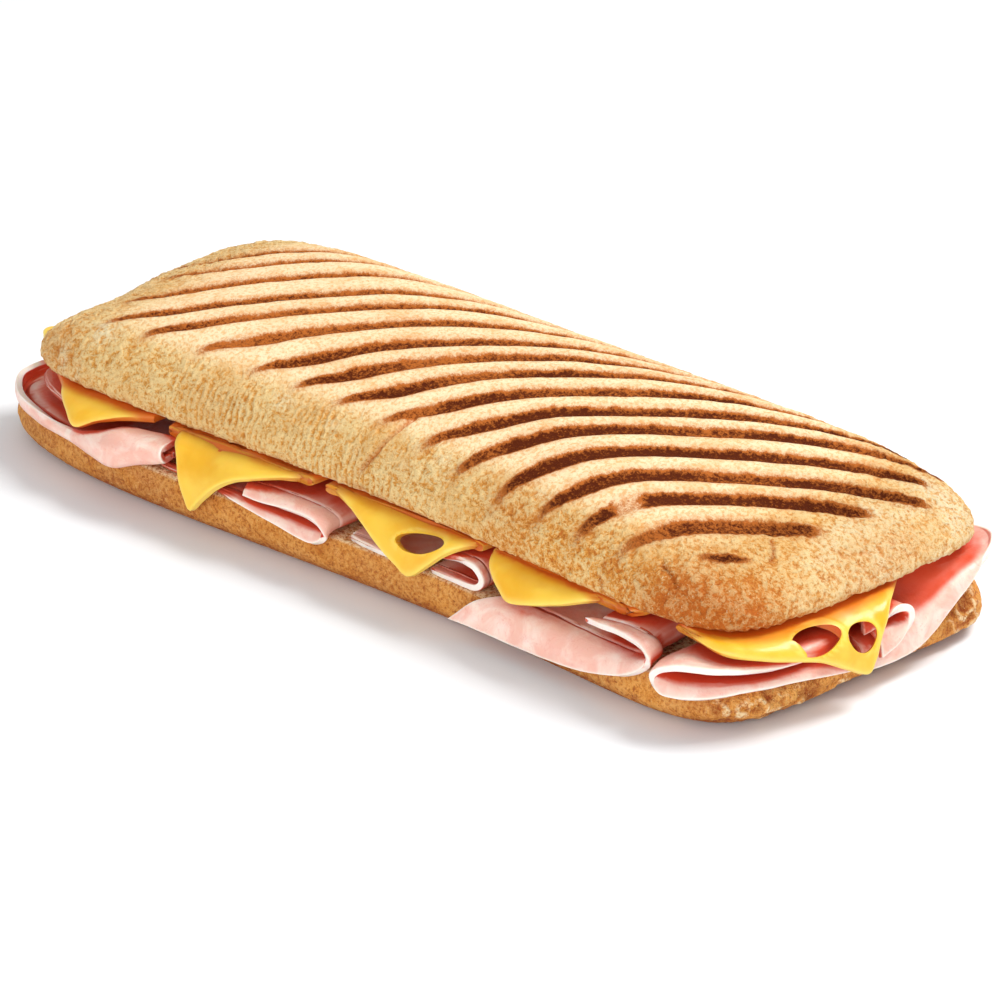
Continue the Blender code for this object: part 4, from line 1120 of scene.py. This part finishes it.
def ham_slices(shade):
    """The ham: each hanging edge by its run, height and reach, then its heights between the halves."""
    under = [(-119, 16.5, -8.6), (-112, 16.4, -6.4), (-104, 16.4, -5.0), (-96, 16.3, -4.0), (-88, 16.2, -3.4),
             (-80, 16.2, -3.4)]
    loop = [(-57, 12.9, -1.8), (-47, 12.4, -1.2), (-31, 11.0, 0.8), (-17, 9.8, 2.2), (-6.5, 9.1, 3.0),
            (-2.2, 11.6, 3.2), (-5.5, 14.6, 2.8), (-13, 14.9, 2.4), (-22, 13.9, 1.8), (-28.5, 13.6, 1.0)]
    loop_heights = [12.2, 12.2, 12.2, 12.2, 12.2, 13.8, 15.6, 16.2, 16.2, 16.0]
    far_loop = [(0.86 * run - 1, 10.2 + 0.95 * (height - 9.1), 0.7 * out) for run, height, out in loop]
    flat = [(2.5, 12.0, -0.4), (9, 11.9, 0.4), (16, 11.9, 0.4), (24.5, 12.1, -0.2)]
    curl = [(27, 12.0, 0.0), (34, 12.0, 0.2), (40.6, 12.4, 0.3), (42.8, 14.9, 0.4), (40.4, 17.4, 0.4),
            (36.0, 17.2, 0.2), (31.6, 16.2, 0.0)]
    curl_heights = [12.2, 12.2, 12.4, 14.9, 17.4, 17.6, 17.2]
    far_curl = [(run + 1.5, height - 0.4, out) for run, height, out in curl]
    drape = [(35.8, 4.4, 3.3), (46, 4.6, 3.3), (56, 4.6, 3.2), (67, 5.0, 3.2), (78, 6.2, 3.0),
             (88.5, 9.0, 2.8), (94.4, 13.2, 2.4), (92.4, 16.9, 2.0), (85.5, 17.7, 1.4), (79, 17.0, 0.6),
             (74, 16.4, -0.2)]
    drape_heights = [12.2, 12.2, 12.2, 12.2, 12.2, 12.6, 15.0, 17.6, 18.0, 17.6, 17.0]
    far_drape = [(run, height if height > HAM_LOW else HAM_LOW - (HAM_LOW - height) * 0.6, out - 0.6)
                 for run, height, out in drape]
    corner = [(144, 13.4, 0.8), (133, 13.9, 1.4), (121, 15.0, 2.2), (110.5, 16.3, 3.2), (102, 15.9, 4.0),
              (97.2, 12.6, 4.4), (99.8, 8.9, 4.4), (108, 9.7, 3.4), (119, 10.7, 1.8), (131, 9.3, 1.6),
              (143.5, 7.0, 1.6)]
    corner_lip = level_rail(corner, LIP, [16.6, 16.6, 16.6, 16.6, 16.4, 14.4, 12.4, 12.2, 12.2, 12.2, 12.2])
    end_loop = [(148, 13.7, 0.6), (152.6, 15.5, 2.2), (157.2, 18.2, 3.3), (160.0, 17.4, 4.0),
                (159.8, 13.7, 4.1), (156.4, 10.3, 3.9), (151, 8.3, 3.7)]
    end_loop_lip = level_rail(end_loop, LIP, [17.8, 17.8, 17.8, 16.5, 14.9, 14.5, 14.5])
    end = [(147, 5.6, 1.6), (155, 5.0, 1.8), (163.5, 5.4, 1.8), (169, 8.0, 1.8), (174.5, 12.0, 1.9),
           (180.5, 15.8, 1.9), (186, 19.4, 2.0), (190.5, 21.8, 2.2), (196, 21.6, 2.0), (206, 18.6, 1.0)]
    end_lip = level_rail(end, LIP, [12.3, 12.3, 12.6, 14.6, 17.2, 18.8, 19.6, 19.8, 19.8, 18.8])
    rails = {
        "ham_left": ham_left_rails(),
        "ham_under": through_rails(under, mirrored(under, 1.0), [16.2] * 6, span=(-112, -80), inside=-16.0),
        "ham_loop": through_rails(loop, far_loop, loop_heights, span=(-50, -1.5)),
        "ham_flat": through_rails(flat, mirrored(flat, 1.0), [HAM_LOW] * 4),
        "ham_curl": through_rails(curl, far_curl, curl_heights),
        "ham_drape": through_rails(drape, far_drape, drape_heights, span=(49, 92), lips=(48.6, 94.3)),
        "ham_corner": corner_rails(corner, corner_lip, RIGHT_CENTRE),
        "ham_end_loop": corner_rails(end_loop, end_loop_lip, RIGHT_CENTRE),
        "ham_end": corner_rails(end, end_lip, RIGHT_CENTRE),
    }
    return make_slices(rails, HAM_THICK, shade, HAM_LOOK, 100)


def cheese_slices(shade):
    """The cheese: each hanging edge by its run, height and reach."""
    left = [(-152, 20.8, -8.0), (-143, 20.8, -7.0), (-136, 20.8, -3.4), (-131.4, 20.7, -0.2),
            (-127, 20.8, -3.6), (-119, 20.8, -8.2), (-105, 20.8, -7.0), (-94, 20.8, -3.0),
            (-89.5, 19.6, 0.0), (-85.2, 17.9, 1.8), (-80.6, 15.8, 3.2), (-74.5, 18.4, 1.2),
            (-68.5, 20.2, -1.6), (-62, 20.8, -4.6)]
    drops = (0, 0, 0.5, 1.0, 1.5, 2.2, 3, 3.6, 3, 2, 1.2, 0.5, 0, 0)
    far_x = np.linspace(-88, -62, len(drops))
    far_left = [(x, CHEESE_LAYER - drop, 0.4 + 0.4 * drop) for x, drop in zip(far_x, drops)]
    level = [CHEESE_LAYER] * len(left)
    edge = edge_rail(left)
    inner = toward(edge, LEFT_CENTRE, 0.88, level)
    far_lip = fanned(far_left, CHEESE_LIP)
    left_rails = [edge, between(inner, edge), inner, toward(edge, LEFT_CENTRE, 0.78, level),
                  slant(*CHEESE_SLANT, level), edge_rail(far_lip, True),
                  edge_rail(brow(far_lip, far_left), True), edge_rail(far_left, True)]
    tip = [(-52.5, 20.8, -4.2), (-50.8, 19.8, -0.6), (-49, 18.2, 1.4), (-47, 12.8, 2.6), (-45.1, 8.8, 3.2),
           (-42.8, 6.4, 3.6), (-39.8, 9.4, 3.4), (-36, 13.4, 3.1), (-30.8, 16.8, 2.4), (-24.8, 18.8, 1.2),
           (-18, 20.2, -1.4), (-11.6, 20.8, -4.4)]
    drape = [(-6.5, 20.8, -4.4), (-2.4, 20.6, -2.4), (2.4, 20.0, -0.4), (8.6, 18.0, 1.8), (14.3, 15.0, 3.0),
             (20, 12.6, 3.7), (24.6, 11.1, 4.0), (29.8, 15.0, 3.3), (33, 18.0, 2.2), (36, 19.8, -0.2),
             (39.5, 20.8, -4.4)]
    band = [(42.6, 20.8, -4.4), (45.2, 19.4, 0.0), (48, 17.6, 1.6), (51, 15.9, 2.7), (54.5, 14.6, 3.4),
            (60, 15.8, 3.0), (67.5, 17.9, 1.6), (73.4, 19.8, -1.2), (78, 20.8, -4.6)]
    end = [(97, 20.8, -5.0), (104, 20.4, -2.4), (111, 19.5, 1.0), (117.4, 18.6, 2.7), (124.4, 16.9, 4.1),
           (131.8, 14.6, 5.0), (138.4, 10.8, 5.6), (144.6, 7.6, 5.8), (147.2, 10.6, 5.8), (148.8, 14.0, 5.4),
           (151.4, 17.4, 4.6), (155.2, 19.9, 2.2), (160, 20.6, -1.2), (165, 20.8, -5.0)]
    rails = {
        "cheese_left": left_rails,
        "cheese_tip": melted_rails(tip, mirrored(tip, 0.5, 1.8), (-57, -10)),
        "cheese_drape": melted_rails(drape, mirrored(drape, 1.1), (-7, 41)),
        "cheese_band": melted_rails(band, mirrored(band, 1.05, 1.0), (43.5, 88)),
        "cheese_end": corner_rails(end, fanned(end, CHEESE_LIP), CHEESE_CENTRE),
    }
    return make_slices(rails, CHEESE_THICK, shade, CHEESE_LOOK, 300)


def place_over(piece, node):
    """The piece stands for a CAD node."""
    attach(piece, "root")
    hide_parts(node)


def mesh_points(piece):
    points = np.empty(3 * len(piece.data.vertices))
    piece.data.vertices.foreach_get("co", points)
    return points.reshape(-1, 3)


def half_sphere():
    """Directions evenly spread over the half sphere round the third axis."""
    ways = []
    for step in range(SHUT_RAYS):
        up = (step + 0.5) / SHUT_RAYS
        turn = step * math.pi * (3 - math.sqrt(5))
        flat = math.sqrt(1 - up)
        ways.append((flat * math.cos(turn), flat * math.sin(turn), math.sqrt(up)))
    return ways


def closed_in(mesh, tree, ways):
    """How far the food closes round each vertex, by rays sent out these ways round its normal."""
    closed = []
    for vertex in mesh.vertices:
        normal = vertex.normal
        side = normal.orthogonal().normalized()
        other = normal.cross(side)
        start = vertex.co + normal * 0.15 * MM
        total = 0.0
        for x, y, z in ways:
            hit = tree.ray_cast(start, side * x + other * y + normal * z, SHUT_REACH * MM)
            if hit[3] is not None:
                total += 1 - hit[3] / (SHUT_REACH * MM)
        closed.append(total / SHUT_RAYS)
    return np.array(closed)


def rim_shadow(points, left, cheesy):
    """How far the top half's rim shades each point of a slice, for the slice's painted shadow: in patches and
    most at the loaf's ends.
    """
    x, y, height = points.T
    plan = np.hypot(x - TOP_SHIFT[0], y - TOP_SHIFT[1])
    past_rim = plan * (1 - 1 / np.maximum(top_share(x, y), 0.1))
    at_ends = smooth_step(*RIM_SHADE_ALONG, np.abs(x)) * smooth_step(*RIM_SHADE_ACROSS, y)
    if cheesy:
        reach, low, share = 5.5 + 3.5 * left, 13.0, 0.8 + 0.3 * left
    else:
        reach, low, share = 3.4 + 5.6 * left, 9.0, 0.35 + 0.6 * at_ends
    patchy = (0.85 + 0.4 * layered_noise(points, 9.0, 97)) * share
    return patchy * smooth_step(reach, 0.0, past_rim) * smooth_step(low, low + 7.0, height)


def painted_shade_fields(slices, breads):
    """Marks how far the food closes round each point of the slices and how far the top half's rim shades it,
    as their painted shade: 0 in the open, 1 deep inside.
    """
    points, faces = [], []
    for piece in slices + breads:
        first = len(points)
        points += [tuple(point) for point in mesh_points(piece)]
        faces += [tuple(first + corner for corner in face.vertices) for face in piece.data.polygons]
    tree = BVHTree.FromPolygons(points, faces)
    ways = half_sphere()
    for piece in slices:
        spots = mesh_points(piece) / MM
        left = smooth_step(*LEFT_ALONG, spots[:, 0])
        # Painted shade: darker where the food closes round a slice, more so towards the left end
        painted_shade = closed_in(piece.data, tree, ways) * (1.0 + 0.5 * left)
        rim_shade = rim_shadow(spots, left, piece.name.startswith("cheese"))
        # Painted shade: the closed-in share or the rim's painted shadow, whichever is larger
        layer = piece.data.attributes.new("painted_shade", "FLOAT", "POINT")
        layer.data.foreach_set("value", np.maximum(painted_shade, RIM_SHADE_SHARE * rim_shade).astype(np.float32))


# Floor, light and camera
def stage():
    """A plain pale floor."""
    mesh = bpy.data.meshes.new("floor")
    corners = [(x * FLOOR_SIZE, y * FLOOR_SIZE, 0) for x, y in ((-1, -1), (1, -1), (1, 1), (-1, 1))]
    mesh.from_pydata(corners, [], [(0, 1, 2, 3)])
    floor = bpy.data.objects.new("floor", mesh)
    bpy.context.scene.collection.objects.link(floor)
    nodes = Nodes("pale_floor")
    nodes.finish(nodes.mix(nodes.noise(60.0), *FLOOR_TINTS), 0.7, nodes.bump(nodes.noise(4.0), 0.02, 0.1),
                 Specular_IOR_Level=0.2)
    mesh.materials.append(nodes.material)


def lighting():
    """Even light from all round, a key light from behind and a low light from the front."""
    world = bpy.data.worlds.new("soft_room")
    world.use_nodes = True
    room = world.node_tree.nodes["Background"].inputs
    room["Color"].default_value = (1.0, 1.0, 1.0, 1.0)
    room["Strength"].default_value = ROOM_LIGHT
    bpy.context.scene.world = world
    for name, (place, target, size, power, colour) in LIGHTS.items():
        data = bpy.data.lights.new(name, "AREA")
        data.size = size
        data.energy = power
        data.color = colour
        lamp = bpy.data.objects.new(name, data)
        lamp.location = place
        lamp.rotation_euler = (Vector(target) - Vector(place)).to_track_quat("-Z", "Y").to_euler()
        bpy.context.scene.collection.objects.link(lamp)
    bpy.context.scene.view_settings.view_transform = "Standard"


def camera():
    """The photo's view."""
    flat = math.cos(CAMERA_TILT)
    back = Vector((math.sin(CAMERA_TURN) * flat, -math.cos(CAMERA_TURN) * flat, math.sin(CAMERA_TILT)))
    right = Vector((0, 0, 1)).cross(back).normalized()
    turned = Matrix((right, back.cross(right), back)).transposed().to_4x4()
    data = bpy.data.cameras.new("camera")
    data.lens = LENS
    data.sensor_width = SENSOR_WIDTH
    eye = bpy.data.objects.new("camera", data)
    bpy.context.scene.collection.objects.link(eye)
    eye.matrix_world = Matrix.Translation(Vector(CAMERA_TARGET) + back * CAMERA_DISTANCE) @ turned
    bpy.context.scene.camera = eye


def main():
    top = bread_top(crust_material("top_crust", TOP_COLOURS))
    place_over(top, "bread_top")
    bottom = bread_bottom(crust_material("bottom_crust", BOTTOM_COLOURS))
    place_over(bottom, "bread_bottom")
    slices = ham_slices(ham_material()) + cheese_slices(cheese_material())
    # Painted shade on the slices, where the food closes round them and under the top half's rim
    painted_shade_fields(slices, [top, bottom])
    stage()
    lighting()
    camera()


main()
